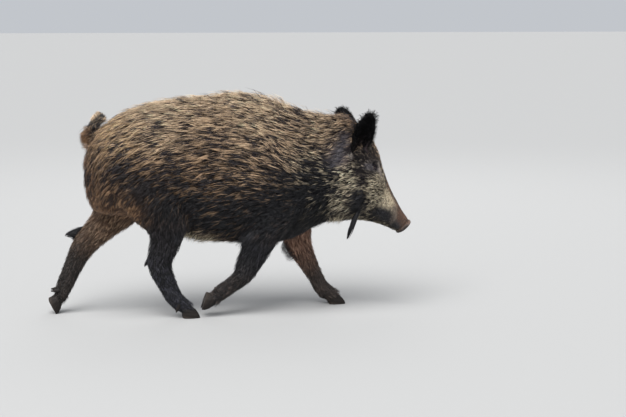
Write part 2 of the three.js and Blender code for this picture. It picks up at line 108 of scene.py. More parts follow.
# -------- the lie of the coat
# Each place on one side of the body: x, |y|, z, reach, the way the hair points, its length, its lift
# (height of the tip as a share of the length), its dark and light colours and the share of light tufts.
COAT = {
    "tail root": (-462, 10, 600, 40, (-0.4, 0.2, -1), 34, 0.24, SEPIA, RUST, 0.45),
    "croup": (-400, 30, 645, 80, (-1, 0.05, -0.55), 58, 0.18, UMBER, GOLD, 0.82),
    "loin": (-250, 30, 705, 100, (-1, 0, -0.15), 62, 0.18, UMBER, BUFF, 0.84),
    "back": (-60, 20, 725, 110, (-1, 0, -0.02), 65, 0.213, UMBER, BUFF, 0.91),
    "withers": (90, 15, 730, 90, (-1, 0, 0.02), 72, 0.262, UMBER, BUFF, 0.74),
    "crest": (230, 12, 680, 90, (-1, 0.05, -0.02), 70, 0.295, UMBER, BUFF, 0.66),
    "nape": (370, 15, 655, 70, (-1, 0.1, 0.02), 50, 0.36, SEPIA, SAND, 0.5),
    "poll": (432, 20, 622, 40, (-0.8, 0.1, 0.5), 38, 0.42, SEPIA, RUST, 0.45),
    "upper rump": (-360, 90, 590, 90, (-1, 0, -0.4), 58, 0.164, UMBER, GOLD, 0.64),
    "upper loin": (-220, 105, 620, 100, (-1, 0, -0.2), 60, 0.164, UMBER, BUFF, 0.62),
    "upper ribs": (-60, 110, 630, 110, (-1, 0, 0.02), 60, 0.172, UMBER, SAND, 0.66),
    "upper shoulder": (110, 110, 620, 90, (-0.85, 0, 0.5), 58, 0.18, SEPIA, BUFF, 0.68),
    "neck side": (240, 105, 590, 80, (-0.95, 0, -0.1), 52, 0.197, SEPIA, SAND, 0.4),
    "crest side": (335, 80, 620, 60, (-0.9, 0, -0.5), 44, 0.28, SEPIA, BUFF, 0.36),
    "buttock": (-455, 60, 480, 80, (-0.3, 0.05, -1), 52, 0.164, SEPIA, RUST, 0.5),
    "haunch": (-370, 115, 480, 90, (-0.85, 0, -0.5), 55, 0.156, SEPIA, TAN, 0.3),
    "flank": (-210, 130, 480, 100, (-1, 0, -0.22), 58, 0.156, SEPIA, TAN, 0.28),
    "ribs": (-60, 140, 480, 110, (-1, 0, -0.08), 60, 0.164, SEPIA, TAN, 0.4),
    "rib front": (60, 140, 500, 80, (-0.95, 0, 0.38), 58, 0.164, SEPIA, SAND, 0.28),
    "shoulder": (160, 130, 520, 80, (-0.75, 0, 0.72), 50, 0.18, SEPIA, SAND, 0.44),
    "lower shoulder": (140, 130, 400, 70, (-1, 0, 0.05), 36, 0.18, INK, TAN, 0.2),
    "neck base": (250, 115, 470, 70, (-0.9, 0, 0.2), 38, 0.22, INK, STRAW, 0.14),
    "behind the ear": (345, 95, 530, 30, (-0.8, 0, -0.2), 12, 0.12, MAUVE, PALE, 0.25),
    "above the grey": (388, 72, 616, 22, (-0.7, 0, -0.3), 16, 0.2, INK, SHEEN_SLATE, 0.2),
    "top of the grey": (376, 84, 588, 25, (-0.8, 0, -0.3), 11, 0.12, MAUVE, PALE, 0.25),
    "neck": (310, 110, 440, 55, (-0.95, 0, -0.15), 42, 0.26, INK, STRAW, 0.26),
    "thigh back": (-440, 80, 370, 60, (-0.35, 0, -1), 38, 0.16, srgb("#523e31"), srgb("#cda27c"), 0.7),
    "thigh": (-345, 110, 375, 65, (-0.5, 0, -0.85), 34, 0.16, srgb("#4b382d"), srgb("#c2956c"), 0.62),
    "stifle": (-225, 110, 350, 55, (-0.3, 0, -1), 32, 0.15, INK, SHEEN_SLATE, 0.15),
    "low flank": (-150, 125, 360, 80, (-0.95, 0, -0.35), 55, 0.164, INK, TAN, 0.12),
    "belly side": (-40, 120, 330, 90, (-0.95, 0, -0.3), 58, 0.18, INK, TAN, 0.16),
    "belly": (-110, 30, 250, 85, (-0.8, 0, -0.6), 42, 0.32, SEPIA, STRAW, 0.42),
    "belly front": (50, 40, 245, 80, (-0.8, 0, -0.5), 42, 0.25, INK, TAN, 0.2),
    "elbow": (90, 115, 310, 60, (-0.9, 0, -0.4), 34, 0.18, INK, SHEEN_SLATE, 0.1),
    "chest side": (190, 110, 340, 60, (-0.85, 0, -0.45), 34, 0.2, INK, SHEEN_SLATE, 0.18),
    "brisket": (190, 20, 255, 70, (-0.8, 0, -0.6), 36, 0.25, INK, SHEEN_SLATE, 0.15),
    "groin": (-300, 20, 300, 80, (-0.5, 0, -0.8), 26, 0.2, SEPIA, RUST, 0.3),
    "throat side": (295, 95, 350, 50, (-0.7, 0, -0.7), 46, 0.24, INK, STRAW, 0.3),
    "throat": (320, 20, 300, 60, (-0.85, 0, -0.5), 34, 0.28, INK, SHEEN_SLATE, 0.2),
    "jowl": (380, 95, 390, 42, (-1, 0.1, -0.15), 38, 0.3, SEPIA, STRAW, 0.6),
    "low jowl": (380, 75, 325, 34, (-0.85, 0.1, -0.5), 40, 0.32, SEPIA, STRAW, 0.55),
    "band": (425, 85, 345, 20, (-0.6, 0, -0.8), 30, 0.24, INK, INK, 0.05),
    "upper cheek": (400, 98, 450, 38, (-1, 0.05, -0.1), 28, 0.25, SEPIA, STRAW, 0.58),
    "cheek": (450, 74, 400, 34, (-0.9, 0.1, 0.1), 20, 0.25, SEPIA, STRAW, 0.74),
    "face": (438, 80, 490, 32, (-0.85, 0, 0.4), 13, 0.2, SEPIA, PALE, 0.25),
    "eye": (466, 61, 484, 16, (-0.8, 0, 0.4), 6, 0.14, INK, SHEEN_SLATE, 0.2),
    "forehead": (470, 20, 560, 45, (-0.35, 0, 0.9), 17, 0.22, SEPIA, SAND, 0.5),
    "under eye": (492, 50, 440, 20, (-0.7, 0, 0.6), 11, 0.18, SEPIA, STRAW, 0.75),
    "bridge": (520, 10, 425, 34, (-0.5, 0, 0.85), 10, 0.15, SEPIA, RUST, 0.4),
    "muzzle side": (520, 42, 360, 26, (-0.6, 0, 0.75), 8, 0.15, UMBER, STRAW, 0.55),
    "lip": (505, 38, 312, 20, (-0.7, 0, 0.5), 7, 0.14, INK, SHEEN_SLATE, 0.1),
    "muzzle top": (560, 10, 350, 26, (-0.6, 0, 0.8), 6, 0.12, SEPIA, RUST, 0.4),
    "snout": (577, 25, 300, 20, (-0.6, 0, 0.75), 3.5, 0.1, srgb("#2b2220"), RUST, 0.2),
    "chin": (500, 15, 280, 26, (-1, 0, -0.1), 11, 0.22, SEPIA, STRAW, 0.3),
    "jaw": (450, 25, 298, 34, (-1, 0, -0.2), 18, 0.24, SEPIA, STRAW, 0.4),
}

# Each leg's side and its joints from shoulder or hip to coronet.
LEGS = {
    "right_fore": (-1, ((165, 92, 455), (135, 94, 370), (85, 84, 285), (55, 77, 205), (20, 74, 135),
                        (-18, 73, 104), (-46, 73, 85), (-67, 73, 69), (-81, 73, 51))),
    "left_fore": (1, ((190, 92, 470), (205, 94, 385), (214, 84, 295), (228, 77, 215), (262, 74, 142),
                      (288, 73, 95), (308, 73, 56), (332, 73, 38), (351, 73, 29))),
    "right_hind": (-1, ((-345, 84, 510), (-300, 92, 430), (-238, 90, 340), (-232, 80, 262), (-256, 74, 186),
                        (-234, 73, 120), (-206, 73, 64), (-180, 73, 42), (-163, 73, 29))),
    "left_hind": (1, ((-340, 84, 505), (-346, 92, 432), (-372, 90, 358), (-430, 80, 290), (-492, 75, 228),
                      (-528, 73, 162), (-557, 73, 100), (-569, 73, 70), (-580, 73, 45))),
}
TAIL = ((-436, 0, 566), (-465, 0, 592), (-460, 4, 622), (-440, 12, 643), (-427, 32, 656), (-430, 56, 656))
# At each joint: how far the leg reaches round it, and the hair's length.
GIRTH = {"fore": (65, 63, 52, 39, 30, 25, 26, 25, 21), "hind": (68, 74, 63, 43, 34, 28, 27, 26, 21)}
LEG_HAIR = {"fore": (40, 36, 30, 24, 19, 15, 14, 15, 17), "hind": (40, 38, 32, 26, 21, 16, 14, 15, 17)}
LEG_LIFT = 0.18
LEG_COLOURS = {  # dark, light and share of light tufts at the top; the same at the foot. On the near legs and at the feet the light tufts are painted glints, the sheen on the dark hair.
    "right_fore": ((INK, SHEEN_SLATE, 0.34), (srgb("#1d1a1b"), srgb("#665a52"), 0.38)),
    # the far foreleg's top: its own reddish brown, painted lighter to make up for the body's shadow on it
    "left_fore": ((srgb("#7a5c4c"), srgb("#dfb197"), 0.62), (srgb("#332c29"), srgb("#74665c"), 0.35)),
    "right_hind": ((srgb("#1c191a"), srgb("#544f54"), 0.36), (srgb("#17171b"), srgb("#5a5a66"), 0.3)),
    "left_hind": ((srgb("#66503f"), srgb("#c4a284"), 0.55), (srgb("#241f1c"), srgb("#5a504a"), 0.33)),
}

# Markings that stand out from the coat round them, and a painted shadow on the haunch: a line of places, how
# far they reach, the dark and light colours, the share of light tufts, and how strongly they take over.
MARKS = {
    "grey by the ear": (((384, 78, 612), (374, 84, 586), (357, 94, 552), (340, 103, 520), (331, 106, 500)),
                        22, srgb("#4c4a51"), srgb("#69676c"), 0.4, 0.97),
    "pale ear base": (((377, 92, 529),), 9, MAUVE, STRAW, 0.5, 0.7),
    "cheek band": (((414, 94, 397), (420, 88, 380), (417, 84, 363)), 24, INK, INK, 0.0, 0.98),
    "beard root": (((417, 82, 346), (410, 76, 330), (402, 66, 306)), 12, INK, INK, 0.0, 0.97),
    "mask below the eye": (((414, 90, 474), (424, 86, 452), (432, 80, 430)), 13, SEPIA, UMBER, 0.1, 0.9),
    "eye": (((440, 78, 484), (466, 62, 482)), 12, srgb("#4b474a"), srgb("#8c858a"), 0.45, 0.9),
    "fold before the eye": (((476, 57, 492), (484, 55, 470), (488, 54, 446)),
                            7, srgb("#8a8078"), srgb("#a89e92"), 0.6, 0.9),
    "cheek": (((468, 66, 436), (492, 52, 412), (508, 45, 385), (488, 54, 392), (455, 72, 404)),
              20, SEPIA, STRAW, 0.72, 0.8),
    "pale snout": (((508, 46, 394), (520, 42, 372), (527, 38, 356)),
                   13, srgb("#665947"), srgb("#fbe9c8"), 0.78, 0.8),
    # a painted shadow: darker coat on the haunch, where shade falls
    "shadow on the haunch": (((-335, 112, 505), (-290, 120, 484), (-250, 124, 458)), 42, SEPIA, TAN, 0.14, 0.7),
    "below the ear": (((398, 86, 566), (386, 92, 544)), 17, INK, INK, 0.0, 0.95),
    "lower muzzle": (((480, 46, 330), (505, 42, 318), (500, 40, 298), (530, 36, 296), (546, 28, 274)),
                     17, INK, SHEEN_SLATE, 0.2, 0.96),
    "muzzle top": (((536, 12, 385), (556, 12, 350), (575, 12, 318)),
                   20, srgb("#2f231d"), srgb("#7d5c49"), 0.42, 0.85),
    "pale stripe": (((534, 34, 342), (541, 34, 315), (534, 32, 293)),
                    9, srgb("#5b5048"), srgb("#9a8d80"), 0.5, 0.7),
}

# x and height of the line on the flank below which the coat is darker, partly its own darker lower side and
# partly painted shade, and how much darker it gets there.
DARK_AND_SHADED_BELOW = ((-420, 470), (-350, 505), (-250, 500), (-110, 455), (0, 432), (100, 430), (200, 470),
              (280, 515), (340, 520))
DARKER_SHARE, DARKER_LIGHT, DARKER_DARK = 0.64, 0.32, 0.25
BORDER_FADE, BORDER_RAGGED = (-0.08, 0.05), 0.035

# Waves that make the coat a little uneven: direction and rate per metre, and where they start.
PATCHY = (((41, 17, 30), 0.3), ((-29, 12, 52), 1.1), ((63, -21, -18), 2.3), ((18, 9, -71), 0.7),
          ((88, 5, 40), 1.9))
PATCHY_SHARE = 0.4


def step(low, high, x):
    """0 below low, 1 above high, smooth between; with low above high it falls."""
    t = np.clip((x - low) / (high - low), 0, 1)
    return t * t * (3 - 2 * t)


def ridge(x, centre, width):
    """1 at the centre, falling to 0 about two widths away."""
    return np.exp(-(((x - centre) / width) ** 2))


def unit(v):
    return v / np.maximum(np.linalg.norm(v, axis=-1, keepdims=True), 1e-9)


def tint(a, b, w):
    """Rows of a where w is 0, of b where it is 1."""
    return a + (b - a) * w[:, None]


def folded(points):
    """The points laid over to the animal's left side."""
    laid = points.copy()
    laid[:, 1] = np.abs(laid[:, 1])
    return laid


def line_place(points, marks):
    """For each point by a line of marks: its distance, how many marks along it lies, its offset from the
    line and the line's direction there."""
    best, place = np.full(len(points), 1e9), np.zeros(len(points))
    offset, heading = np.zeros((len(points), 3)), np.zeros((len(points), 3))
    for j in range(max(len(marks) - 1, 1)):
        ab = marks[min(j + 1, len(marks) - 1)] - marks[j]
        t = np.clip(((points - marks[j]) @ ab) / max(ab @ ab, 1e-12), 0, 1)
        gap = points - marks[j] - t[:, None] * ab
        d = np.linalg.norm(gap, axis=1)
        near = d < best
        best[near], place[near], offset[near], heading[near] = d[near], j + t[near], gap[near], unit(ab)
    return best, place, offset, heading


# One point's coat is a row of twelve numbers, in these columns.
WAY, LENGTH, LIFT, DARK, LIGHT, SHARE = slice(0, 3), 3, 4, slice(5, 8), slice(8, 11), 11
COLOURS = slice(5, 12)


def coat_at(points):
    """The coat at each point, and how much the point is on a leg."""
    laid = folded(points)
    x, y, z = laid.T
    total, coat = np.full(len(points), 1e-12), np.zeros((len(points), 12))
    for *place, reach, way, length, lift, dark, light, share in COAT.values():
        gap = (laid - at(*place)) / (reach * MM)
        w = np.exp(-np.minimum((gap**2).sum(1), 60)) + 1e-9 * np.exp(-np.linalg.norm(gap, axis=1))
        total += w
        coat += w[:, None] * np.hstack([unit(np.array(way, float)), length * MM, lift, dark, light, share])
    coat /= total[:, None]
    coat[:, 1] *= np.where(points[:, 1] < 0, -1.0, 1.0)
    ragged = 1 + 0.12 * np.sin(x * 410) * np.sin(z * 470 + y * 300)
    for marks, reach, dark, light, share, strength in MARKS.values():
        distance = line_place(laid, line_of(marks))[0] / (reach * MM)
        w = strength * np.exp(-((distance * ragged) ** 3.2))
        coat[:, COLOURS] = tint(coat[:, COLOURS], np.hstack([dark, light, share]), w)
    patchy = sum(np.sin(laid @ np.array(k) + 3 * turn) for k, turn in PATCHY) / len(PATCHY)
    coat[:, SHARE] = np.clip(coat[:, SHARE] * (1 + PATCHY_SHARE * patchy), 0, 1)
    # below the line the coat is made darker: partly the coat's own darker lower side, partly painted shade
    border = np.interp(x, [x_at(bx) for bx, _ in DARK_AND_SHADED_BELOW], [bz * MM for _, bz in DARK_AND_SHADED_BELOW])
    below = 1 - step(*BORDER_FADE, z - border + BORDER_RAGGED * patchy)
    # only on the side of the trunk: not on the back, the belly, the neck or the rump's end
    below *= step(0.02, 0.07, y) * step(0.29, 0.33, z) * step(x_at(350), x_at(320), x)
    below *= step(x_at(-430), x_at(-370), x + 0.85 * (z - 0.5))
    coat[:, SHARE] *= 1 - DARKER_SHARE * below
    coat[:, LIGHT] *= (1 - DARKER_LIGHT * below)[:, None]
    coat[:, DARK] *= (1 - DARKER_DARK * below)[:, None]
    limb = np.zeros(len(points))
    for name, (side, joints) in LEGS.items():
        kind = name.split("_")[1]
        distance, place, _, heading = line_place(points, line_of(joints, side))
        girth = np.interp(place, range(9), GIRTH[kind]) * MM
        w = step(1.75, 1.15, distance / girth) * step(1.5, 2.5, place)
        if not w.any():
            continue
        hair = np.interp(place, range(9), LEG_HAIR[kind]) * MM
        top, foot = (np.hstack(colours) for colours in LEG_COLOURS[name])
        colours = tint(top, foot, step(2.6, 5.0, place))
        leg = np.column_stack([heading + (-0.1, 0, -0.15), hair, np.full(len(w), LEG_LIFT), colours])
        coat = tint(coat, leg, w)
        limb = np.maximum(limb, w)
    coat[:, WAY] = unit(coat[:, WAY])
    return coat, limb


def on_tail(points):
    """How much each point is on the tail, and the tail's direction there."""
    marks = line_of(TAIL)
    distance, place, _, _ = line_place(points, marks)
    j = np.minimum(place.astype(int), len(TAIL) - 2)
    return step(0.024, 0.019, distance) * step(1.1, 1.7, place), unit(marks[j + 1] - marks[j])


# -------- mesh helpers
def new_object(name, data):
    made = bpy.data.objects.new(name, data)
    bpy.context.scene.collection.objects.link(made)
    return made


def tree_of(made):
    return BVHTree.FromObject(made, bpy.context.evaluated_depsgraph_get())


def rows(items, field, width, kind=np.float32):
    """One field of a Blender collection, a row for each item."""
    values = np.empty(len(items) * width, kind)
    items.foreach_get(field, values)
    return values.reshape(-1, width)


def coordinates(mesh):
    return rows(mesh.vertices, "co", 3).astype(float)


def normals(mesh):
    return rows(mesh.vertex_normals, "vector", 3).astype(float)


def triangles(mesh, field="vertices"):
    mesh.calc_loop_triangles()
    return rows(mesh.loop_triangles, field, 3, np.int32)


def set_coordinates(mesh, co):
    mesh.vertices.foreach_set("co", np.asarray(co, np.float32).ravel())
    mesh.update()


@contextmanager
def edited(mesh):
    """The mesh as a BMesh, written back at the end."""
    work = bmesh.new()
    work.from_mesh(mesh)
    yield work
    work.to_mesh(mesh)
    work.free()


def neighbour_mean(values, pairs):
    """The mean of each vertex's neighbours."""
    count = len(values)
    total = np.zeros_like(values)
    for axis in range(values.shape[1]):
        total[:, axis] = np.bincount(pairs[:, 0], values[pairs[:, 1], axis], count)
        total[:, axis] += np.bincount(pairs[:, 1], values[pairs[:, 0], axis], count)
    return total / np.maximum(np.bincount(pairs.ravel(), minlength=count)[:, None], 1)


def relax(mesh, rounds, weight=1.0):
    """Smooths a mesh without much shrinking, where weight lets it."""
    co, pairs = coordinates(mesh), rows(mesh.edges, "vertices", 2, np.int32)
    w = np.broadcast_to(weight, len(co))[:, None]
    for _ in range(rounds):
        for push in (0.5, -0.52):
            co = co + w * push * (neighbour_mean(co, pairs) - co)
    set_coordinates(mesh, co)


def applied(source, kind, **settings):
    """A copy of an object's mesh with one modifier applied."""
    modifier = source.modifiers.new(kind, kind)
    for key, value in settings.items():
        setattr(modifier, key, value)
    graph = bpy.context.evaluated_depsgraph_get()
    mesh = bpy.data.meshes.new_from_object(source.evaluated_get(graph))
    source.modifiers.remove(modifier)
    return mesh


def remeshed(source, voxel):
    return applied(source, "REMESH", mode="VOXEL", voxel_size=voxel, adaptivity=0.0)


def replace_mesh(target, mesh):
    old = target.data
    target.data = mesh
    bpy.data.meshes.remove(old)


def joined(name, nodes):
    """One object that holds copies of these CAD nodes' meshes."""
    vertices, faces, start = [], [], 0
    for node in nodes:
        vertices.append(coordinates(NODES[node].data))
        faces.append(triangles(NODES[node].data) + start)
        start += len(vertices[-1])
    mesh = bpy.data.meshes.new(name)
    mesh.from_pydata(np.concatenate(vertices).tolist(), [], np.concatenate(faces).tolist())
    with edited(mesh) as work:
        bmesh.ops.remove_doubles(work, verts=work.verts, dist=1e-6)
    return new_object(name, mesh)


def refine(mesh, chosen):
    """Splits every edge of the faces whose centres chosen() marks, once."""
    with edited(mesh) as work:
        mask = chosen(np.array([f.calc_center_median() for f in work.faces]))
        touched = {e for f, m in zip(work.faces, mask) if m for e in f.edges}
        bmesh.ops.subdivide_edges(work, edges=list(touched), cuts=1, use_grid_fill=True, smooth=0.0)


def paint(mesh, colour):
    """Puts linear RGB on the mesh's points as Col."""
    layer = mesh.color_attributes.new("Col", "FLOAT_COLOR", "POINT")
    rgba = np.ones((len(mesh.vertices), 4), np.float32)
    rgba[:, :3] = np.clip(colour, 0, 1)
    layer.data.foreach_set("color", rgba.ravel())


def finish_mesh(mesh, colour, material):
    """Colours and shades a visible mesh."""
    paint(mesh, colour)
    mesh.polygons.foreach_set("use_smooth", np.ones(len(mesh.polygons), bool))
    mesh.materials.clear()
    mesh.materials.append(material)


# -------- materials
def material(name, mottle, bumps, rough, shader_inputs):
    """A material in the mesh's own colours. mottle is a texture and the range that it scales the colours by,
    each bump is a texture, its height in metres and its strength, and rough is a texture and its range, or
    the name of a layer on the mesh."""
    made = bpy.data.materials.new(name)
    made.use_nodes = True
    tree = made.node_tree

    def feed(node, inputs):
        """Sets each input to a number, or links another node's output to it."""
        for key, value in inputs.items():
            if isinstance(value, bpy.types.NodeSocket):
                tree.links.new(value, node.inputs[key])
            else:
                node.inputs[key].default_value = value

    def add(kind, output, inputs, **settings):
        node = tree.nodes.new("ShaderNode" + kind)
        for key, value in settings.items():
            setattr(node, key, value)
        feed(node, inputs)
        return node.outputs[output]

    def texture(scale, detail=None, roughness=0.6, stretch=None):
        """Noise, or the distance to the edges of cells where detail isn't given."""
        inputs = {"Vector": place, "Scale": scale}
        if detail is None:
            return add("TexVoronoi", "Distance", inputs, feature="DISTANCE_TO_EDGE")
        if stretch:
            inputs["Vector"] = add("Mapping", "Vector", {"Vector": place, "Scale": stretch})
        return add("TexNoise", "Fac", {**inputs, "Detail": detail, "Roughness": roughness})

    def ranged(look, low, high):
        """A texture with its usual values, 0.3 to 0.7, spread from low to high."""
        inputs = {"From Min": 0.3, "From Max": 0.7, "To Min": low, "To Max": high}
        return add("MapRange", "Result", {"Value": texture(*look), **inputs})

    place = add("TexCoord", "Object", {})
    painted = add("Attribute", "Color", {}, attribute_name="Col")
    colour = add("VectorMath", "Vector", {0: painted, "Scale": ranged(*mottle)}, operation="SCALE")
    relief = {}
    for look, height, strength in bumps:
        inputs = {"Height": texture(*look), "Distance": height, "Strength": strength}
        relief["Normal"] = add("Bump", "Normal", {**inputs, **relief})
    layer = isinstance(rough, str)
    dull = add("Attribute", "Fac", {}, attribute_name=rough) if layer else ranged(*rough)
    feed(tree.nodes["Principled BSDF"], {"Base Color": colour, "Roughness": dull, **relief, **shader_inputs})
    return made


def hair_material(name, specular):
    mottle, bump, rough = ((260, 2), 0.82, 1.18), ((900, 2), 0.0004, 0.5), ((180, 2), 0.36, 0.52)
    return material(name, mottle, (bump,), rough, {"Specular IOR Level": specular})


EYE_MATERIAL = material("wet_eye", ((900, 3), 0.75, 1.25), (((260, 2), 0.0001, 0.15),),
                        ((300, 2), 0.12, 0.2), {"Coat Weight": 1.0, "Coat Roughness": 0.03})
GRAIN = (340, 4, 0.65, (1, 1, 3))
HORN_MATERIAL = material("claw_horn", (GRAIN, 0.62, 1.35), (((90, 3), 0.0012, 0.5), (GRAIN, 0.0007, 0.7)),
                         ((120, 3), 0.55, 0.78), {"Specular IOR Level": 0.25})
HAIR_MATERIAL = hair_material("bristle", 0.5)
EAR_MATERIAL = hair_material("ear_hair", 0.1)
SKIN_MATERIAL = material("hide", ((150, 4), 0.7, 1.3), (((620,), 0.0005, 0.55), ((520, 4), 0.0009, 0.6)),
                         "Rough", {"Specular IOR Level": 0.3})

# -------- skin
FLESH = ["hindquarters", "barrel", "forequarters", "neck", "head", "nose_disc", "tail"]
FLESH += [f"{leg}_{part}_leg" for leg in LEGS for part in ("upper", "lower")]
NOSE_CENTRE = at(580.5, 0, 269)
NOSE_WAY = unit(np.array([46.0, 0, -52.0]))  # the way the disc faces, forward and down
DISC_ALONG = unit(np.array([43.0, 0, 38.0]))  # up the disc
DISC_HALF = (0.0287, 0.0325)  # its half-height and half-width

skin = joined("skin", FLESH)
replace_mesh(skin, remeshed(skin, BODY_VOXEL))
relax(skin.data, 14)
co, pairs = coordinates(skin.data), rows(skin.data.edges, "vertices", 2, np.int32)
coat, limb = coat_at(co)
depth = coat[:, LENGTH] * coat[:, LIFT] * (1.05 - 0.55 * limb) + COAT_CLEAR
tail = on_tail(co)[0]
depth = (depth * (1 - tail) + TAIL_DEPTH * tail)[:, None]
for _ in range(12):
    depth = 0.5 * depth + 0.5 * neighbour_mean(depth, pairs)
depth *= 1 - step(-0.012, -0.004, (co - NOSE_CENTRE) @ NOSE_WAY)[:, None]  # no coat on the disc
set_coordinates(skin.data, co - normals(skin.data) * depth)
relax(skin.data, 4)
replace_mesh(skin, remeshed(skin, BODY_VOXEL))
relax(skin.data, 6)


# -------- sculpting the skin
LID_THICK, UPPER_LID_MORE = 0.0011, 0.0012  # over the ball
SOCKET_GAP = 0.003  # between the ball and the skin behind it


def eye_frames(tree):
    """For each side: the surface point at the eye, and along, up and outward unit vectors."""
    found = []
    for side in (-1, 1):
        hit, normal, _, _ = tree.ray_cast(Vector(at(462, side * 200, 481)), Vector((0, -side, 0)))
        outward = unit(np.array(normal) + np.array([0.25, side * 0.9, 0.1]))
        slant = np.array([0.86, 0, -0.5])  # the opening runs forward and down
        along = unit(slant - outward * (slant @ outward))
        up = np.cross(outward, along)
        found.append((np.array(hit), along, up if up[2] > 0 else -up, outward))
    return found


def shape_eye(co, eye):
    """Sinks a socket round the ball and lays the lids on it."""
    spot, along, up, outward = eye
    q = co - spot
    near = np.linalg.norm(q, axis=1) < 0.05
    u, v, w = q[near] @ along, q[near] @ up, q[near] @ outward
    # the inner corner is drawn out forward and down, towards the snout
    v = v + 0.10 * np.clip(u, 0, None)
    ring = np.sqrt((u / LID_HALF[0]) ** 2 + (v / LID_HALF[1]) ** 2)
    reach = np.minimum(np.hypot(u, v), EYE_RADIUS * 0.98)
    ball = EYE_PROUD - EYE_RADIUS + np.sqrt(EYE_RADIUS**2 - reach**2)
    lid = ball + LID_THICK + UPPER_LID_MORE * step(1.0, 1.5, ring) * (v > 0)
    inside = ball - SOCKET_GAP
    target = np.where(ring < 1, inside + (lid - inside) * step(0.86, 1.0, ring), lid)
    change = (target - w) * step(2.6, 1.25, ring)
    change -= 0.0011 * ridge(ring, 1.95, 0.22) * step(-0.002, 0.003, v)  # the fold over the upper lid
    change -= 0.0007 * ridge(ring, 1.85, 0.25) * step(0.001, -0.003, v)  # and two under the lower one
    change -= 0.0006 * ridge(ring, 2.6, 0.25) * step(0.001, -0.003, v)
    change += 0.0016 * ridge(v, 0.017, 0.007) * ridge(u, -0.001, 0.018)  # the brow
    change -= 0.0022 * ridge(v, -0.010, 0.006) * ridge(u, 0.016, 0.012)  # the hollow before the eye
    co = co.copy()
    co[near] += change[:, None] * outward
    return co


NOSTRIL = (0.0125, 0.0012, 0.0056, 0.0076)  # off the middle, up the disc, half-width, half-height
NOSTRIL_DEPTH = 0.0085
WRINKLE_PITCH = 0.0088  # from one wrinkle behind the disc to the next


def disc_place(points):
    """On the nose disc: up it, across it, out of it, and the share of its half-size."""
    q = points - NOSE_CENTRE
    a, b, w = q @ DISC_ALONG, q[:, 1], q @ NOSE_WAY
    return a, b, w, np.sqrt((a / DISC_HALF[0]) ** 2 + (b / DISC_HALF[1]) ** 2)


def shape_nose(co):
    """The flat disc with its rim and nostrils, and the wrinkles behind it."""
    a, b, w, r = disc_place(co)
    near = (w > -0.07) & (w < 0.02)
    flat = near & (w > -0.013) & (r < 0.9)
    face = 0.0008 - 0.0016 * r**2 + 0.0016 * ridge(r, 0.93, 0.1)
    face -= 0.0009 * ridge(b, 0, 0.003) * step(-0.004, 0.012, a)  # a furrow down the upper rim's middle
    off, up, half_width, half_height = NOSTRIL
    nostril = np.sqrt(((np.abs(b) - off - 0.12 * a) / half_width) ** 2 + ((a - up) / half_height) ** 2)
    face += 0.0012 * ridge(nostril, 1.32, 0.22) - NOSTRIL_DEPTH * step(1.08, 0.45, nostril)
    shift = np.where(flat, (face - w) * step(0.93, 0.84, r), 0)
    co = co + shift[:, None] * NOSE_WAY
    # the rim stands out all round, with a furrow behind it and softer wrinkles up the snout
    out = unit(a[:, None] * DISC_ALONG + b[:, None] * np.array([0, 1.0, 0]))
    push = 0.0024 * ridge(w, -0.0045, 0.0042) - 0.0022 * ridge(w, -0.0135, 0.0036)
    wave = np.sin((w + 0.004 * np.cos(b / 0.011)) * 2 * math.pi / WRINKLE_PITCH)
    wave *= step(-0.017, -0.021, w) * step(-0.062, -0.03, w) * (0.35 + 0.65 * step(-0.012, 0.01, a))
    push = (push + 0.0006 * wave) * step(0.62, 0.95, r) * near
    return co + push[:, None] * out


MOUTH = ((553, 15, 262), (543, 25, 266), (523, 33, 281), (497, 40, 298), (470, 47, 313), (456, 51, 326))


def shape_mouth(co, no):
    """The lips' line from under the disc to the cheek, the lower jaw set a little inside the upper lip."""
    level = np.array([1, 0, 1])  # the line is followed as it is seen from the side
    _, place, offset, _ = line_place(co * level, line_of(MOUTH) * level)
    place = place / (len(MOUTH) - 1)
    gap = np.hypot(offset[:, 0], offset[:, 2]) * np.sign(offset[:, 2] + 0.5 * offset[:, 0])
    on_side = step(0.010, 0.018, np.abs(co[:, 1])) * step(0, 0.06, place) * step(1.0, 0.9, place)
    push = 0.0013 * ridge(gap, 0.0052, 0.0032) - 0.0030 * ridge(gap, 0, 0.0019)  # upper lip and groove
    push += 0.0006 * ridge(gap, -0.0050, 0.003)  # lower lip
    push -= 0.0018 * step(0.0005, -0.006, gap) * step(0.13, 0.0, np.abs(gap)) * step(-0.03, -0.018, gap)
    return co + (push * on_side)[:, None] * unit(no * np.array([0.3, 1, 0.45]))


# What swells (or sinks) on each side of the head: place, height and reach in metres.
HEAD_FORMS = {
    "cheekbone": ((452, 66, 428), 0.004, 0.026),
    "temple": ((436, 82, 512), -0.0035, 0.020),
    "hollow before the cheekbone": ((512, 42, 405), -0.0030, 0.017),
    "root of the upper canine": ((532, 36, 345), 0.0026, 0.018),
}
JOWL_FOLD = ((412, 94, 428), (424, 86, 380), (421, 80, 335), (408, 64, 296))


def shape_head(co, no):
    """The forms of the head and the fold that parts cheek from jowl."""
    laid = folded(co)
    push = np.zeros(len(co))
    for place, height, reach in HEAD_FORMS.values():
        push += height * ridge(np.linalg.norm(laid - at(*place), axis=1), 0, reach)
    fold, place, _, _ = line_place(laid, line_of(JOWL_FOLD))
    push -= 0.0052 * ridge(fold, 0, 0.0075) * step(0, 0.45, place)
    push += 0.0030 * ridge(fold, 0.018, 0.010) * (laid[:, 0] < x_at(412))
    return co + push[:, None] * no


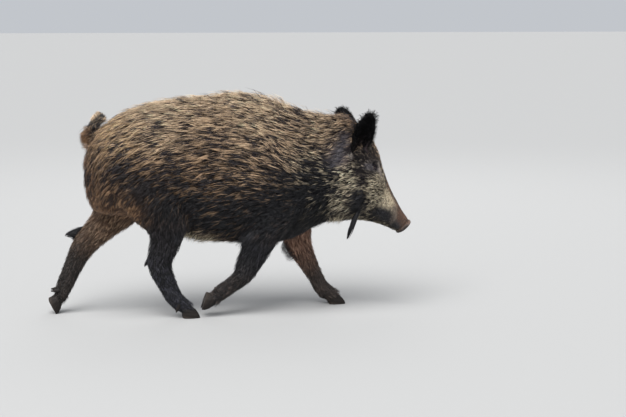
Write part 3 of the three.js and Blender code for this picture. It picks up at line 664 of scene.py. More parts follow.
def wrinkle(co, no):
    """Fine creases of the bare skin on the muzzle."""
    x, y, z = (co / MM).T
    fine = np.sin(x * 0.9 + 1.7 * np.sin(z * 0.45) + 0.8 * np.sin(y * 0.6))
    fine *= np.sin(z * 1.1 + 1.3 * np.sin(x * 0.4 + y * 0.3))
    on_muzzle = step(x_at(490), x_at(540), co[:, 0]) * (disc_place(co)[2] < -0.006)
    return co + (0.00022 * fine * on_muzzle)[:, None] * no


# -------- ears
EAR_ROOT = (396, 73, 550)
EAR_SIZE, EAR_THICK, EAR_CUP = (145, 103), 4.4, 26  # length and width; the cup's depth
EAR_LEAN = {-1: 0.3, 1: -0.16}  # forward
EAR_TURN = {-1: 51.5, 1: 30}  # degrees that the back of the ear is turned outward
EAR_GRID = (64, 40)  # rings along, points across each face
EAR_START = 0.13  # the part of the length that is inside the head


def ear_axes(side):
    """The ear's root, and the directions along it, across it and out of its back."""
    along = unit(np.array([EAR_LEAN[side], side * 0.3, 0.92]))
    turn = math.radians(EAR_TURN[side])
    back = np.array([-math.cos(turn), -side * math.sin(turn), 0.0])
    back = unit(back - along * (back @ along))
    return line_of([EAR_ROOT], side)[0], along, np.cross(along, back), back


def ear_half(t):
    """Half the ear's width at t, from root (0) to tip (1), in millimetres."""
    swell = 0.42 + 0.58 * np.sin(np.pi * (0.1 + 0.72 * t))
    return EAR_SIZE[1] / 2 * swell * np.sqrt(np.clip(1 - 0.96 * t**7, 0, 1))


def ear_cup(t, half):
    """How far the rims stand before the middle."""
    return EAR_CUP * (1.2 - 0.8 * t) * half / (EAR_SIZE[1] / 2)


def ear_bow(t):
    """How far the ear's middle bows back."""
    return 10 * np.sin(np.pi * t)


def ear_shell(side):
    """The ear as a closed cupped shell."""
    rings, steps = EAR_GRID
    t = np.linspace(-0.06, 1, rings)[:, None]
    a = np.concatenate([np.linspace(-1, 1, steps), np.linspace(1, -1, steps)[1:-1]])[None, :]
    inner = np.concatenate([np.zeros(steps), np.ones(steps - 2)])[None, :]
    t, a, inner = np.broadcast_arrays(t, a, inner)
    half = ear_half(t) * (1 + 0.02 * np.sin(9 * t + 2 * a))
    curl = 3.0 * np.clip(np.abs(a) - 0.75, 0, 1) / 0.25  # the rims turn in a little
    depth = ear_bow(t) - (ear_cup(t, half) * a**2 + curl * (1 - t))
    depth = depth - inner * EAR_THICK * (1 - 0.5 * t) * (1 - 0.6 * a**2)
    root, along, across, back = ear_axes(side)
    points = root + along * (EAR_SIZE[0] * (t - EAR_START) * MM)[..., None]
    points = points + across * (half * a * MM)[..., None] + back * (depth * MM)[..., None]
    around = points.shape[1]
    verts = np.concatenate([points.reshape(-1, 3), points[0].mean(0)[None], points[-1].mean(0)[None]])
    bottom, top, last = len(verts) - 2, len(verts) - 1, (rings - 1) * around
    faces = []
    for i in range(0, last, around):
        for j in range(around):
            k = (j + 1) % around
            faces.append((i + j, i + k, i + around + k, i + around + j))
    for j in range(around):
        k = (j + 1) % around
        faces += [(k, j, bottom), (last + j, last + k, top)]
    mesh = bpy.data.meshes.new("ear")
    mesh.from_pydata(verts.tolist(), [], faces)
    with edited(mesh) as work:
        bmesh.ops.recalc_face_normals(work, faces=work.faces)
    return new_object("ear", mesh)


def ear_place(points):
    """Which ear a point is on (-1, 1, or 0 for none), how far along it, across it and before its back."""
    which, t, a, front = np.zeros((4, len(points)))
    for side in (-1, 1):
        root, along, across, back = ear_axes(side)
        q = (points - root) / MM
        up = q @ along / EAR_SIZE[0] + EAR_START
        half = ear_half(np.clip(up, 0, 1))
        over = (q @ across) / np.maximum(half, 1)
        depth = ear_bow(np.clip(up, 0, 1)) - ear_cup(up, half) * np.clip(over, -1, 1) ** 2 - q @ back
        on = (up > 0.06) & (up < 1.06) & (np.abs(over) < 1.15) & (depth > -5) & (depth < 10)
        on &= np.sign(points[:, 1]) == side
        which[on], t[on], a[on], front[on] = side, up[on], over[on], depth[on]
    return which, t, a, front


for side in (-1, 1):
    shell = ear_shell(side)
    bpy.context.view_layer.update()
    replace_mesh(skin, applied(skin, "BOOLEAN", operation="UNION", object=shell, solver="MANIFOLD"))
    bpy.data.objects.remove(shell)


def near_eye(points):
    return np.linalg.norm(folded(points) - at(462, 66, 481), axis=1)


HEAD_X, FACE_X = x_at(372), x_at(492)
refine(skin.data, lambda c: (c[:, 0] > HEAD_X) & (ear_place(c)[0] == 0))
refine(skin.data, lambda c: ((c[:, 0] > FACE_X) | (near_eye(c) < 0.034)) & (ear_place(c)[0] == 0))
refine(skin.data, lambda c: (near_eye(c) < 0.019) | ((disc_place(c)[2] > -0.016) & (c[:, 0] > FACE_X)))
co = coordinates(skin.data)
seam = np.zeros(len(co))  # where the ears grow out of the head
for side in (-1, 1):
    root, along, _, _ = ear_axes(side)
    q = co - root
    seam = np.maximum(seam, step(0.075, 0.045, np.linalg.norm(q, axis=1)) * step(0.045, 0.012, q @ along))
relax(skin.data, 10, seam)
relax(skin.data, 3, step(HEAD_X, HEAD_X + 0.02, co[:, 0]) * (ear_place(co)[0] == 0))

EYES = eye_frames(tree_of(skin))
co = shape_nose(shape_head(coordinates(skin.data), normals(skin.data)))
set_coordinates(skin.data, co)
co = shape_mouth(co, normals(skin.data))
for eye in EYES:
    co = shape_eye(co, eye)
set_coordinates(skin.data, co)
set_coordinates(skin.data, wrinkle(co, normals(skin.data)))


# -------- eyes
EYEBALL = srgb("#5b4a40")
IRIS = srgb("#4a2f1c")
IRIS_RIM = srgb("#19120f")
PUPIL = (0.25, 0.15)  # its reach along and up, as a share of the ball's radius


def eye_ball(name, node, eye):
    """A ball with cornea, iris and flat oval pupil, its front just proud of the skin's own surface."""
    spot, along, up, outward = eye
    mesh = bpy.data.meshes.new(name)
    with edited(mesh) as work:
        bmesh.ops.create_icosphere(work, subdivisions=5, radius=EYE_RADIUS)
    co = coordinates(mesh)
    way = unit(outward + 0.18 * along)
    angle = np.degrees(np.arccos(np.clip(unit(co) @ way, -1, 1)))
    co = co + unit(co) * (0.0006 * step(38, 16, angle))[:, None]  # the cornea
    set_coordinates(mesh, co + spot - outward * (EYE_RADIUS - EYE_PROUD))
    flat = unit(co) - way * (unit(co) @ way)[:, None]
    pupil = np.hypot((flat @ along) / PUPIL[0], (flat @ up) / PUPIL[1])
    spokes = 0.75 + 0.25 * np.sin(38 * np.arctan2(flat @ up, flat @ along))
    colour = tint(IRIS * spokes[:, None], IRIS_RIM, step(31, 37, angle))
    colour = tint(colour * step(0.85, 1.1, pupil)[:, None] + 0.002, EYEBALL, step(50, 62, angle))
    made = new_object(name, mesh)
    finish_mesh(mesh, colour, EYE_MATERIAL)
    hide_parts(node)
    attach(made, "root")


for eye, name in zip(EYES, ("right", "left")):
    eye_ball("eyeball_" + name, "eye_" + name, eye)

# -------- hooves and dewclaws
# Each foot's x, height and pitch in degrees, toes down.
FOOT = {"right_fore": (-81, 51, 110), "left_fore": (352, 29, 0), "right_hind": (-162, 29, 0),
        "left_hind": (-580, 43, 64)}
HORN = srgb("#201b18")
HORN_GLINT = srgb("#3b332c")  # painted highlight: the horn lighter towards the bottom
HORN_TOP = srgb("#1a1715")
RING_PITCH = 5.2  # from one growth ring to the next
RING_SLOPE = 0.22  # they drop towards the toe
LEVEL = np.array([1, 0, 1])


def claws(leg):
    """One foot's two hooves and two dewclaws, with growth rings, a painted highlight towards the bottom and
    darker horn at the top.
    """
    x, z, pitch = FOOT[leg]
    parts = [f"{leg}_{kind}_{which}" for kind in ("hoof", "dewclaw") for which in ("outer", "inner")]
    made = joined("claws_" + leg, parts)
    replace_mesh(made, remeshed(made, HOOF_VOXEL))
    relax(made.data, 6)
    co, no = coordinates(made.data), normals(made.data)
    turn = math.radians(pitch)
    q = (co - at(x, 0, z)) * LEVEL
    forward = q @ np.array([math.cos(turn), 0, -math.sin(turn)])
    upward = q @ np.array([math.sin(turn), 0, math.cos(turn)])
    down = -(upward + RING_SLOPE * forward) / MM
    rings = np.sin(2 * math.pi * (down + 0.5 * np.sin(co[:, 1] / 0.006)) / RING_PITCH)
    swell = 0.00022 * rings + 0.00025 * np.sin(2 * math.pi * down / (2.5 * RING_PITCH))
    co = co + no * swell[:, None]
    co[:, 2] = np.maximum(co[:, 2], 0)
    set_coordinates(made.data, co)
    # painted highlight: the horn is made lighter towards the bottom
    colour = tint(HORN * (1 + 0.16 * rings)[:, None], HORN_GLINT, 0.55 * step(18, 30, down))
    finish_mesh(made.data, tint(colour, HORN_TOP, 0.7 * step(5, 0, down)), HORN_MATERIAL)
    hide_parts(*parts)
    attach(made, "root")


for leg in LEGS:
    claws(leg)

# -------- colour of the skin
DISC_COLOURS = srgb("#2e2521"), srgb("#644f45")  # low on the nose disc and at its upper rim
EAR_COLOURS = srgb("#141416"), srgb("#3b3031")  # the ear's skin, and deep in the cup
LID_COLOUR = srgb("#645d66")
ROUGH, ROUGH_DISC = 0.68, 0.42


def skin_colours(points):
    """The skin under the coat, with the coat's own markings, and its roughness."""
    coat, _ = coat_at(points)
    dark, light = coat[:, DARK], coat[:, LIGHT]
    seen = tint(dark, light, coat[:, SHARE] * 0.8)  # where the hair is short
    colour = tint(dark * 0.8, seen, step(0.022, 0.006, coat[:, LENGTH]))
    up, _, out, _ = disc_place(points)
    disc = step(-0.012, -0.007, out) * (points[:, 0] > FACE_X)
    colour = tint(colour, tint(*DISC_COLOURS, step(0.004, 0.024, up)), disc)
    which, t, _, front = ear_place(points)
    ear = tint(*EAR_COLOURS, step(1.5, 3.5, front) * step(0.7, 0.2, t))
    colour[which != 0] = ear[which != 0]
    gap = np.min([np.linalg.norm(points - eye[0], axis=1) for eye in EYES], axis=0)
    return tint(colour, LID_COLOUR, step(0.019, 0.014, gap)), ROUGH + (ROUGH_DISC - ROUGH) * disc


colour, rough = skin_colours(coordinates(skin.data))
finish_mesh(skin.data, colour, SKIN_MATERIAL)
layer = skin.data.attributes.new("Rough", "FLOAT", "POINT")
layer.data.foreach_set("value", rough.astype(np.float32))
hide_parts(*FLESH, "ear_right", "ear_left")
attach(skin, "root")

# -------- camera, light and floor
FOCAL, WIDE, DROP = 1450, 626, 198.5  # pixels: focal length, width, horizon to the picture's middle
FILM = 36
YAW = math.radians(10)  # the animal walks this far away from the image plane
TILT = math.atan(DROP / FOCAL)  # the camera looks this far down
CAMERA = at(-571.0, -4744.7, 1000.0)


def aim(made, way):
    """Turns a camera or a lamp to look this way."""
    made.rotation_mode = "QUATERNION"
    made.rotation_quaternion = Vector(way).to_track_quat("-Z", "Y")


scene = bpy.context.scene
lens = bpy.data.cameras.new("camera")
lens.sensor_width = FILM
lens.lens = FOCAL / WIDE * FILM
lens.clip_end = 200
camera = new_object("camera", lens)
camera.location = CAMERA
aim(camera, (math.sin(YAW) * math.cos(TILT), math.cos(YAW) * math.cos(TILT), -math.sin(TILT)))
scene.camera = camera

FLOOR_HALF = 60
ground = bpy.data.meshes.new("floor")
corners = [(x * FLOOR_HALF, y * FLOOR_HALF, 0) for x, y in ((-1, -1), (1, -1), (1, 1), (-1, 1))]
ground.from_pydata(corners, [], [(0, 1, 2, 3)])
floor = new_object("floor", ground)
floor_paint = bpy.data.materials.new("floor_paint")
floor_paint.use_nodes = True
shader = floor_paint.node_tree.nodes["Principled BSDF"]
shader.inputs["Base Color"].default_value = (0.375, 0.373, 0.367, 1)
shader.inputs["Roughness"].default_value = 0.95
ground.materials.append(floor_paint)

# Each lamp's place, the place that it lights, its size and its power.
LAMPS = {"key": ((-2.2, -3.2, 4.4), (0, 0, 0.35), 3.6, 66), "rim": ((1.0, 3.6, 3.4), (0, 0, 0.4), 3.0, 34)}
for name, (place, target, size, power) in LAMPS.items():
    lamp = bpy.data.lights.new(name, "AREA")
    lamp.shape = "DISK"
    lamp.size = size
    lamp.energy = power
    made = new_object(name, lamp)
    made.location = place
    aim(made, Vector(target) - Vector(place))
sky = bpy.data.lights.new("sky", "SUN")
sky.angle = math.radians(50)
sky.energy = 4.1
new_object("sky", sky).rotation_euler = (math.radians(24), math.radians(-16), 0)
world = bpy.data.worlds.new("studio")
world.use_nodes = True
world.node_tree.nodes["Background"].inputs["Color"].default_value = (0.9, 0.94, 1.0, 1)
world.node_tree.nodes["Background"].inputs["Strength"].default_value = 0.6
scene.world = world
scene.view_settings.view_transform = "Standard"

# -------- the coat
RNG = np.random.default_rng(20261123)
# Standard deviations shared by a clump, and of each tuft: turn in radians, lift and tone as shares.
CLUMP_TURN, TUFT_TURN = 0.16, 0.10
CLUMP_LIFT, TUFT_LIFT = 0.32, 0.18
CLUMP_TONE, TUFT_TONE = 0.24, 0.2
LONERS = 0.32  # the share of tufts that don't take their clump's colour
WIDTH, WIDTH_PER_LENGTH = 0.0009, 0.023  # of a tuft
ROOT_TONE, TIP_TONE = 0.75, 1.25  # of a dark tuft; a pale one's tip has the light colour
LAYERS, MORE_LAYERS = 4.2, 4.6  # of tufts over each other: where the hair is short, and more where it is long
THIN = {"leg": 0.52, "face": 0.35, "ear": 0.35, "neck": 0.1, "floor": 0.75}  # the share left out there
EAR_HAIR, EAR_LIFT = 13, 0.16
EAR_DARK = srgb("#060607")
EAR_LIGHT = srgb("#121113")
EAR_CUP_LIGHT = srgb("#5c5350")
EAR_TIP_LIGHT = srgb("#4d4744")
# pale hairs on the near ear's front rim: a painted highlight where the edge catches the light
EAR_RIM_HIGHLIGHT = srgb("#7d746c")
TAIL_COAT = np.hstack([0.030, 0.26, srgb("#34302f"), srgb("#b09878"), 0.2])  # all but the way it points


def comb_ears(points, coat):
    """Puts the ears' own hair in the coat: short and black, longer at the rims, in the cup and at the tip."""
    which, every_t, every_a, every_front = ear_place(points)
    for side in (-1, 1):
        on = which == side
        t, a, front = every_t[on], every_a[on], every_front[on]
        _, along, across, back = ear_axes(side)
        rim, tip = step(0.72, 0.98, np.abs(a)), step(0.78, 0.98, t)
        within = step(1.2, 3.2, front) * (1 - rim)
        near = side < 0  # the ear towards the camera is shaggier
        rear = step(0.55, 0.95, a) * step(0.25, 0.5, t) * near
        # the near ear's lower front rim gets a painted highlight: paler tufts, more of them light
        fore = step(0.7, 0.9, -a) * step(0.34, 0.2, t) * near
        heading = along + across * (0.55 * a * (0.4 + 1.1 * rim) + 0.6 * rear)[:, None]
        heading = heading - back * (0.35 * rim + 0.25 * within)[:, None]
        longer = 13 if near else 4
        length = EAR_HAIR + longer * (rim + tip) + 7 * rear + 9 * within * step(0.75, 0.3, t)
        lift = EAR_LIFT + 0.12 * (rim + tip + within)
        light = tint(EAR_LIGHT, EAR_CUP_LIGHT, within * step(0.35, 0.1, t))
        light = tint(tint(light, EAR_TIP_LIGHT, 0.7 * tip), EAR_RIM_HIGHLIGHT, fore)
        dark, share = np.tile(EAR_DARK, (len(t), 1)), 0.2 + 0.1 * tip + 0.3 * fore
        coat[on] = np.column_stack([unit(heading), length * MM, lift, dark, light, share])
    return which != 0


def hair_at(points):
    """The coat with ears and tail, a tuft's width, how much is leg, and which points are on an ear."""
    coat, limb = coat_at(points)
    on_ear = comb_ears(points, coat)
    tail, way = on_tail(points)
    if tail.any():
        coat = tint(coat, np.column_stack([way, np.tile(TAIL_COAT, (len(points), 1))]), tail)
    coat[:, WAY] = unit(coat[:, WAY])
    return coat, (WIDTH + WIDTH_PER_LENGTH * coat[:, LENGTH]) * (1 + 0.1 * limb), limb, on_ear


def bare(points):
    """Where no hair grows: on the nose disc and the eyes."""
    bald = (disc_place(points)[2] > -0.009) & (points[:, 0] > FACE_X)
    for spot, along, up, _ in EYES:
        q = points - spot
        ring = np.sqrt(((q @ along) / LID_HALF[0]) ** 2 + ((q @ up) / LID_HALF[1]) ** 2)
        bald |= (ring < 1.35) & (np.linalg.norm(q, axis=1) < 0.03)
    return bald


def scatter():
    """Root places on the skin, closest where the hair is short, and the way out of the skin there."""
    co, tri, no = coordinates(skin.data), triangles(skin.data), normals(skin.data)
    corners = co[tri]
    centres = corners.mean(1)
    across = np.cross(corners[:, 1] - corners[:, 0], corners[:, 2] - corners[:, 0])
    area = np.linalg.norm(across, axis=1) / 2
    coat, width, limb, on_ear = hair_at(centres)
    length = coat[:, LENGTH]
    weight = area * (LAYERS + MORE_LAYERS * step(0.01, 0.04, length)) / (length * width)
    face = step(x_at(425), x_at(445), centres[:, 0]) * ~on_ear
    weight *= (1 - THIN["leg"] * limb) * (1 - THIN["face"] * face) * (1 - THIN["ear"] * on_ear)
    weight *= 1 - THIN["neck"] * step(x_at(320), x_at(340), centres[:, 0]) * (1 - face)
    weight[bare(centres)] = 0
    weight *= 1 - THIN["floor"] * step(0.02, 0.0, centres[:, 2])
    count = int(weight.sum())
    marks = np.cumsum(weight) / weight.sum()
    picks = (np.arange(count) + RNG.random(count)) / count
    chosen = np.minimum(np.searchsorted(marks, picks), len(tri) - 1)
    s, t = RNG.random(count), RNG.random(count)
    flip = s + t > 1
    s[flip], t[flip] = 1 - s[flip], 1 - t[flip]
    s, t = s[:, None], t[:, None]
    c, n = corners[chosen], no[tri[chosen]]
    roots = c[:, 0] + s * (c[:, 1] - c[:, 0]) + t * (c[:, 2] - c[:, 0])
    out = unit(n[:, 0] * (1 - s - t) + n[:, 1] * s + n[:, 2] * t)
    keep = ~bare(roots)
    return roots[keep], out[keep]


def on_foot(points):
    """How much a point is at the end of a leg, just above the hooves."""
    found = np.zeros(len(points))
    for side, joints in LEGS.values():
        distance, place, _, _ = line_place(points, line_of(joints, side))
        found = np.maximum(found, step(6.3, 7.2, place) * (distance < 0.04))
    return found


def on_skin(tree, points, fallback, reach):
    """The nearest places on the skin, its normals there and which were found; where the skin is out of
    reach, the point itself and the fallback."""
    spots, outs = points.copy(), np.array(np.broadcast_to(fallback, points.shape))
    held = np.zeros(len(points), bool)
    for i, (p, far) in enumerate(zip(points.tolist(), np.broadcast_to(reach, len(points)))):
        hit, normal, _, _ = tree.find_nearest(p, far)
        if hit is not None:
            spots[i], outs[i], held[i] = hit, normal, True
    return spots, outs, held


def turned(vector, axis, angle):
    """vector turned about axis by angle, for arrays."""
    c, s = np.cos(angle)[:, None], np.sin(angle)[:, None]
    return vector * c + np.cross(axis, vector) * s + axis * ((axis * vector).sum(1)[:, None]) * (1 - c)


def nearest_centre(points, centres):
    """For each point, the index in centres of the nearest one."""
    tree = kdtree.KDTree(len(centres))
    for i, c in enumerate(centres.tolist()):
        tree.insert(c, i)
    tree.balance()
    return np.array([tree.find(p)[1] for p in points.tolist()])


def grow(tree, roots, out, segments):
    """The tufts: their roots, centre lines, outward directions, widths and colours."""
    n = len(roots)
    coat, width, _, _ = hair_at(roots)
    way, length, lift, share = coat[:, WAY], coat[:, LENGTH], coat[:, LIFT], coat[:, SHARE]
    centres = RNG.permutation(n)[: max(n // CLUMP, 1)]
    clump = nearest_centre(roots, roots[centres])
    leader = centres[clump]
    groups = len(centres)
    sway = RNG.normal(0, CLUMP_TURN, groups)
    rise = RNG.normal(1, CLUMP_LIFT, groups)
    tone = RNG.normal(1, CLUMP_TONE, groups)
    draw = RNG.random(groups)
    turn = sway[clump] + RNG.normal(0, TUFT_TURN, n)
    lift = lift * np.clip(rise[clump] * RNG.normal(1, TUFT_LIFT, n), 0.3, 1.9)
    length = length * np.clip(RNG.normal(0.98, 0.13, n), 0.6, 1.3)
    width = width * RNG.uniform(0.75, 1.2, n)
    alone = RNG.random(n) < LONERS
    pale = np.where(alone, RNG.random(n) < share, draw[clump] < share)
    spots, outs = np.empty((2, n, segments + 1, 3))
    spots[:, 0], outs[:, 0] = roots, out
    follow = length / segments * (0.55 - 0.5 * on_foot(roots))
    for k in range(1, segments + 1):
        here, normal = spots[:, k - 1], outs[:, k - 1]
        ahead = way if k == 1 else hair_at(here)[0][:, WAY]
        along = unit(ahead - normal * (ahead * normal).sum(1)[:, None])
        goal = here + turned(along, normal, turn) * (length / segments)[:, None]
        spots[:, k], outs[:, k], held = on_skin(tree, goal, normal, follow)
        outs[:, k] = unit(outs[:, k] * 0.6 + normal * 0.4)
    # a tuft that runs off the edge of the body is short
    spots = spots[:, :1] + (spots - spots[:, :1]) * np.where(held, 1.0, 0.5)[:, None, None]
    t = np.linspace(0, 1, segments + 1)[None, :]
    pull = 0.5 * t**2 * (np.linalg.norm(roots - roots[leader], axis=1) < 4.5 * width)[:, None]
    spots = spots + (spots[leader] - spots) * pull[:, :, None]
    start = 2 * lift[:, None] + 0.25
    height = length[:, None] * (start * t - (start + 0.25) * t**2 / 2) - ROOT_SINK * (1 - t)
    line = spots + outs * np.maximum(height, -ROOT_SINK)[:, :, None]
    thick = np.interp(t[0], (0, 0.4, 1), (1.0, 0.85, 0.12))[None, :] * width[:, None]
    bright = np.clip(tone[clump] * RNG.normal(1, TUFT_TONE, n), 0.45, 1.6)[:, None, None]
    tip = np.where(pale[:, None], coat[:, LIGHT], coat[:, DARK] * TIP_TONE)
    return roots, line, outs, thick, shaded(coat[:, DARK] * ROOT_TONE, tip, step(0.18, 0.8, t), bright)


def shaded(root, tip, mix, bright):
    """Each tuft's colours from root to tip."""
    mix = mix[:, :, None]
    return (root[:, None] * (1 - mix) + tip[:, None] * mix) * bright


SECTION = ((1, -0.25), (0, 0.55), (-1, -0.25))  # a tuft's corners across and out, in half-widths


def tuft_mesh(line, outs, thick):
    """Vertices and triangles of tapering three-sided tufts, and one tuft's triangles and map."""
    n, rings, _ = line.shape
    ahead = unit(np.gradient(line, axis=1))
    across = unit(np.cross(ahead, outs))
    over = np.cross(across, ahead)
    per = 3 * (rings - 1) + 1
    verts = np.empty((n, per, 3), np.float32)
    for k in range(rings - 1):
        half = thick[:, k, None] / 2
        for j, (wide, high) in enumerate(SECTION):
            verts[:, 3 * k + j] = line[:, k] + (across[:, k] * wide + over[:, k] * high) * half
    verts[:, -1] = line[:, -1]
    faces = [(0, 1, 2)]
    for k in range(rings - 2):
        for j in range(3):
            a, b = 3 * k + j, 3 * k + (j + 1) % 3
            faces += [(a, a + 3, b + 3), (a, b + 3, b)]
    k = 3 * (rings - 2)
    faces += [(k + j, per - 1, k + (j + 1) % 3) for j in range(3)]
    faces = np.array(faces, np.int32)
    every = (faces[None] + (np.arange(n, dtype=np.int32) * per)[:, None, None]).reshape(-1, 3)
    # each vertex's place in its tuft's patch
    patch = np.array([((v % 3) / 2 - 0.5, (v // 3) / (rings - 1) - 0.5) for v in range(per)], np.float32)
    patch[-1] = (0, 0.5)
    return verts.reshape(-1, 3), every, faces, patch


def unwrapped(roots):
    """A coarse copy of the skin round the roots, unwrapped: its BVH, corners and UVs."""
    coarse = new_object("unwrap", COARSE.copy())
    mesh = coarse.data
    with edited(mesh) as work:
        work.faces.ensure_lookup_table()
        tree = BVHTree.FromBMesh(work)
        used = {tree.find_nearest(p)[2] for p in roots[:: max(len(roots) // 6000, 1)].tolist()}
        keep = used | {f.index for i in used for v in work.faces[i].verts for f in v.link_faces}
        bmesh.ops.delete(work, geom=[f for f in work.faces if f.index not in keep], context="FACES")
    bpy.context.view_layer.objects.active = coarse
    for other in bpy.context.selected_objects:
        other.select_set(False)
    coarse.select_set(True)
    bpy.ops.object.mode_set(mode="EDIT")
    bpy.ops.mesh.select_all(action="SELECT")
    bpy.ops.uv.smart_project(angle_limit=math.radians(66), island_margin=0.004, scale_to_bounds=False)
    bpy.ops.object.mode_set(mode="OBJECT")
    co, tri = coordinates(mesh), triangles(mesh)
    uv = rows(mesh.uv_layers.active.data, "uv", 2)
    found = BVHTree.FromPolygons(co.tolist(), tri.tolist()), co[tri], uv[triangles(mesh, "loops")]
    bpy.data.objects.remove(coarse)
    bpy.data.meshes.remove(mesh)
    return found


def root_uv(roots):
    """Each root's place on the unwrap."""
    tree, corners, uvs = unwrapped(roots)
    places = np.empty((len(roots), 2))
    for i, p in enumerate(roots.tolist()):
        hit, _, face, _ = tree.find_nearest(p)
        a, b, c = corners[face]
        ab, ac, ap = b - a, c - a, np.array(hit) - a
        d00, d01, d11, d20, d21 = ab @ ab, ab @ ac, ac @ ac, ap @ ab, ap @ ac
        det = max(d00 * d11 - d01 * d01, 1e-18)
        v, w = (d11 * d20 - d01 * d21) / det, (d00 * d21 - d01 * d20) / det
        places[i] = uvs[face][0] * (1 - v - w) + uvs[face][1] * v + uvs[face][2] * w
    return np.clip(places, 2 * PATCH, 1 - 2 * PATCH)


def coat_piece(name, roots, line, outs, thick, colour):
    """One mesh of tufts, coloured from root to tip, with its OFBake map."""
    verts, every, faces, patch = tuft_mesh(line, outs, thick)
    mesh = bpy.data.meshes.new(name)
    mesh.vertices.add(len(verts))
    mesh.vertices.foreach_set("co", verts.ravel())
    mesh.loops.add(every.size)
    mesh.loops.foreach_set("vertex_index", every.ravel())
    mesh.polygons.add(len(every))
    mesh.polygons.foreach_set("loop_start", np.arange(0, every.size, 3, dtype=np.int32))
    mesh.update(calc_edges=True)
    ring = np.arange(len(patch)) // 3  # each vertex's ring in its tuft
    colour = colour[:, ring].reshape(-1, 3)
    layer = mesh.uv_layers.new(name="OFBake")
    flat = root_uv(roots)[:, None, None, :] + PATCH * patch[faces][None]
    layer.data.foreach_set("uv", flat.astype(np.float32).ravel())
    made = new_object(name, mesh)
    finish_mesh(mesh, colour, EAR_MATERIAL if name == "coat_ears" else HAIR_MATERIAL)
    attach(made, "root")


# Long hair that hangs or stands clear of the body: its roots' line, how far they spread, how many to a
# side, the way it points, its length, how far it droops, its colours and share, and the sides that have it.
RIGHT, LEFT, BOTH = (-1,), (1,), (-1, 1)
FRINGES = {
    "beard": (((420, 80, 350), (410, 76, 334), (402, 66, 310)), 7, 170,
              (-0.42, 0, -1), 118, 0.08, INK, UMBER, 0.15, RIGHT),
    "far beard": (((398, 66, 308),), 8, 60, (-0.36, 0, -1), 44, 0.1, INK, UMBER, 0.15, LEFT),
    "jowl": (((330, 70, 303), (372, 66, 299)), 20, 150,
             (-0.75, 0.05, -0.75), 40, 0.3, SEPIA, STRAW, 0.6, BOTH),
    "belly": (((-175, 35, 282), (-120, 45, 274), (-50, 40, 266)), 30, 420,
              (-0.9, 0.1, -0.4), 44, 0.3, SEPIA, STRAW, 0.6, BOTH),
    "flank fold": (((-195, 105, 300), (-205, 92, 275)), 14, 110,
                   (-0.35, 0.1, -1), 40, 0.2, INK, SHEEN_SLATE, 0.2, BOTH),
    "elbow": (((60, 95, 290), (45, 84, 250)), 18, 150, (-0.9, 0.1, -0.65), 50, 0.3, INK, SHEEN_SLATE, 0.1, RIGHT),
    "far forearm": (((196, 80, 230), (212, 76, 205), (236, 74, 170)), 8, 180,
                    (-0.75, 0, -0.7), 34, 0.3, SEPIA, UMBER, 0.3, LEFT),
    "near forearm": (((30, 82, 230), (8, 78, 190), (-8, 76, 165)), 8, 170,
                     (-0.75, 0, -0.6), 30, 0.3, INK, UMBER, 0.2, RIGHT),
    "near heel": (((-296, 78, 215), (-298, 78, 196), (-290, 76, 180)), 6, 130,
                  (-0.75, 0, -0.7), 26, 0.3, INK, SHEEN_SLATE, 0.1, RIGHT),
    "hock": (((-500, 76, 292), (-515, 76, 275), (-528, 76, 250)), 9, 200,
             (-1, 0, 0.25), 62, 0.3, INK, UMBER, 0.1, LEFT),
    "seat": (((-478, 18, 500), (-484, 12, 560)), 18, 110,
             (-0.75, 0.2, -0.7), 36, 0.2, SEPIA, RUST, 0.6, BOTH),
    "buttock edge": (((-462, 78, 368), (-420, 92, 350), (-370, 88, 345)), 18, 190,
                     (-0.25, 0, -1), 34, 0.1, srgb("#4a382d"), srgb("#a8805c"), 0.5, RIGHT),
    "tail root": (((-462, 10, 566), (-474, 6, 595), (-466, 8, 622)), 19, 260,
                  (-0.9, 0.25, -0.15), 44, 0.3, srgb("#3f2f26"), srgb("#a07a58"), 0.6, BOTH),
    "tail fan": (((-474, 4, 590), (-464, 4, 625)), 14, 90,
                 (-0.7, 0.1, 0.6), 36, 0.3, UMBER, srgb("#b59574"), 0.6, RIGHT),
    "tail curl": (((-460, 0, 634), (-444, 8, 652), (-429, 36, 664)), 10, 330,
                  (-0.3, 0.05, 0.95), 32, 0.25, UMBER, BUFF, 0.6, LEFT),
    "tail front": (((-436, 2, 640), (-428, 24, 650)), 7, 110,
                   (0.8, -0.1, 0.45), 26, 0.3, UMBER, BUFF, 0.8, LEFT),
    "tail tip": (((-430, 54, 658),), 7, 80, (-0.5, 0.6, -0.5), 48, 0.3, UMBER, BUFF, 0.7, LEFT),
    "poll": (((350, 10, 662), (385, 16, 650), (410, 30, 636)), 18, 220,
             (-0.85, 0.05, 0.42), 40, 0.1, SEPIA, srgb("#b08c6c"), 0.6, BOTH),
    "ear curl": (((374, 92, 536), (381, 93, 520)), 8, 140,
                 (-0.35, 0.75, -0.5), 25, -0.2, srgb("#8d8279"), srgb("#b9b1a9"), 0.7, RIGHT),
    "ear tips": (((417, 84, 660), (436, 78, 668)), 12, 60, (0.15, 0.1, 1), 20, 0, INK, INK, 0, RIGHT),
}
LOCK = {"beard": 170, "far beard": 60, "hock": 200, "near heel": 20}  # tufts that run to one tip
LOCK_BEND, LOCK_PULL = 1.5, 0.86  # how much its tufts bend one by one, and how far their tips draw together
LOOSE, LOOSE_PULL = 6, 0.6  # tufts to a lock in the other fringes, and how far their tips draw together
HOOF_HAIRS = 320  # tufts that hang over each foot's hooves
HOOF_GAP = 0.0012  # how far they keep off the horn


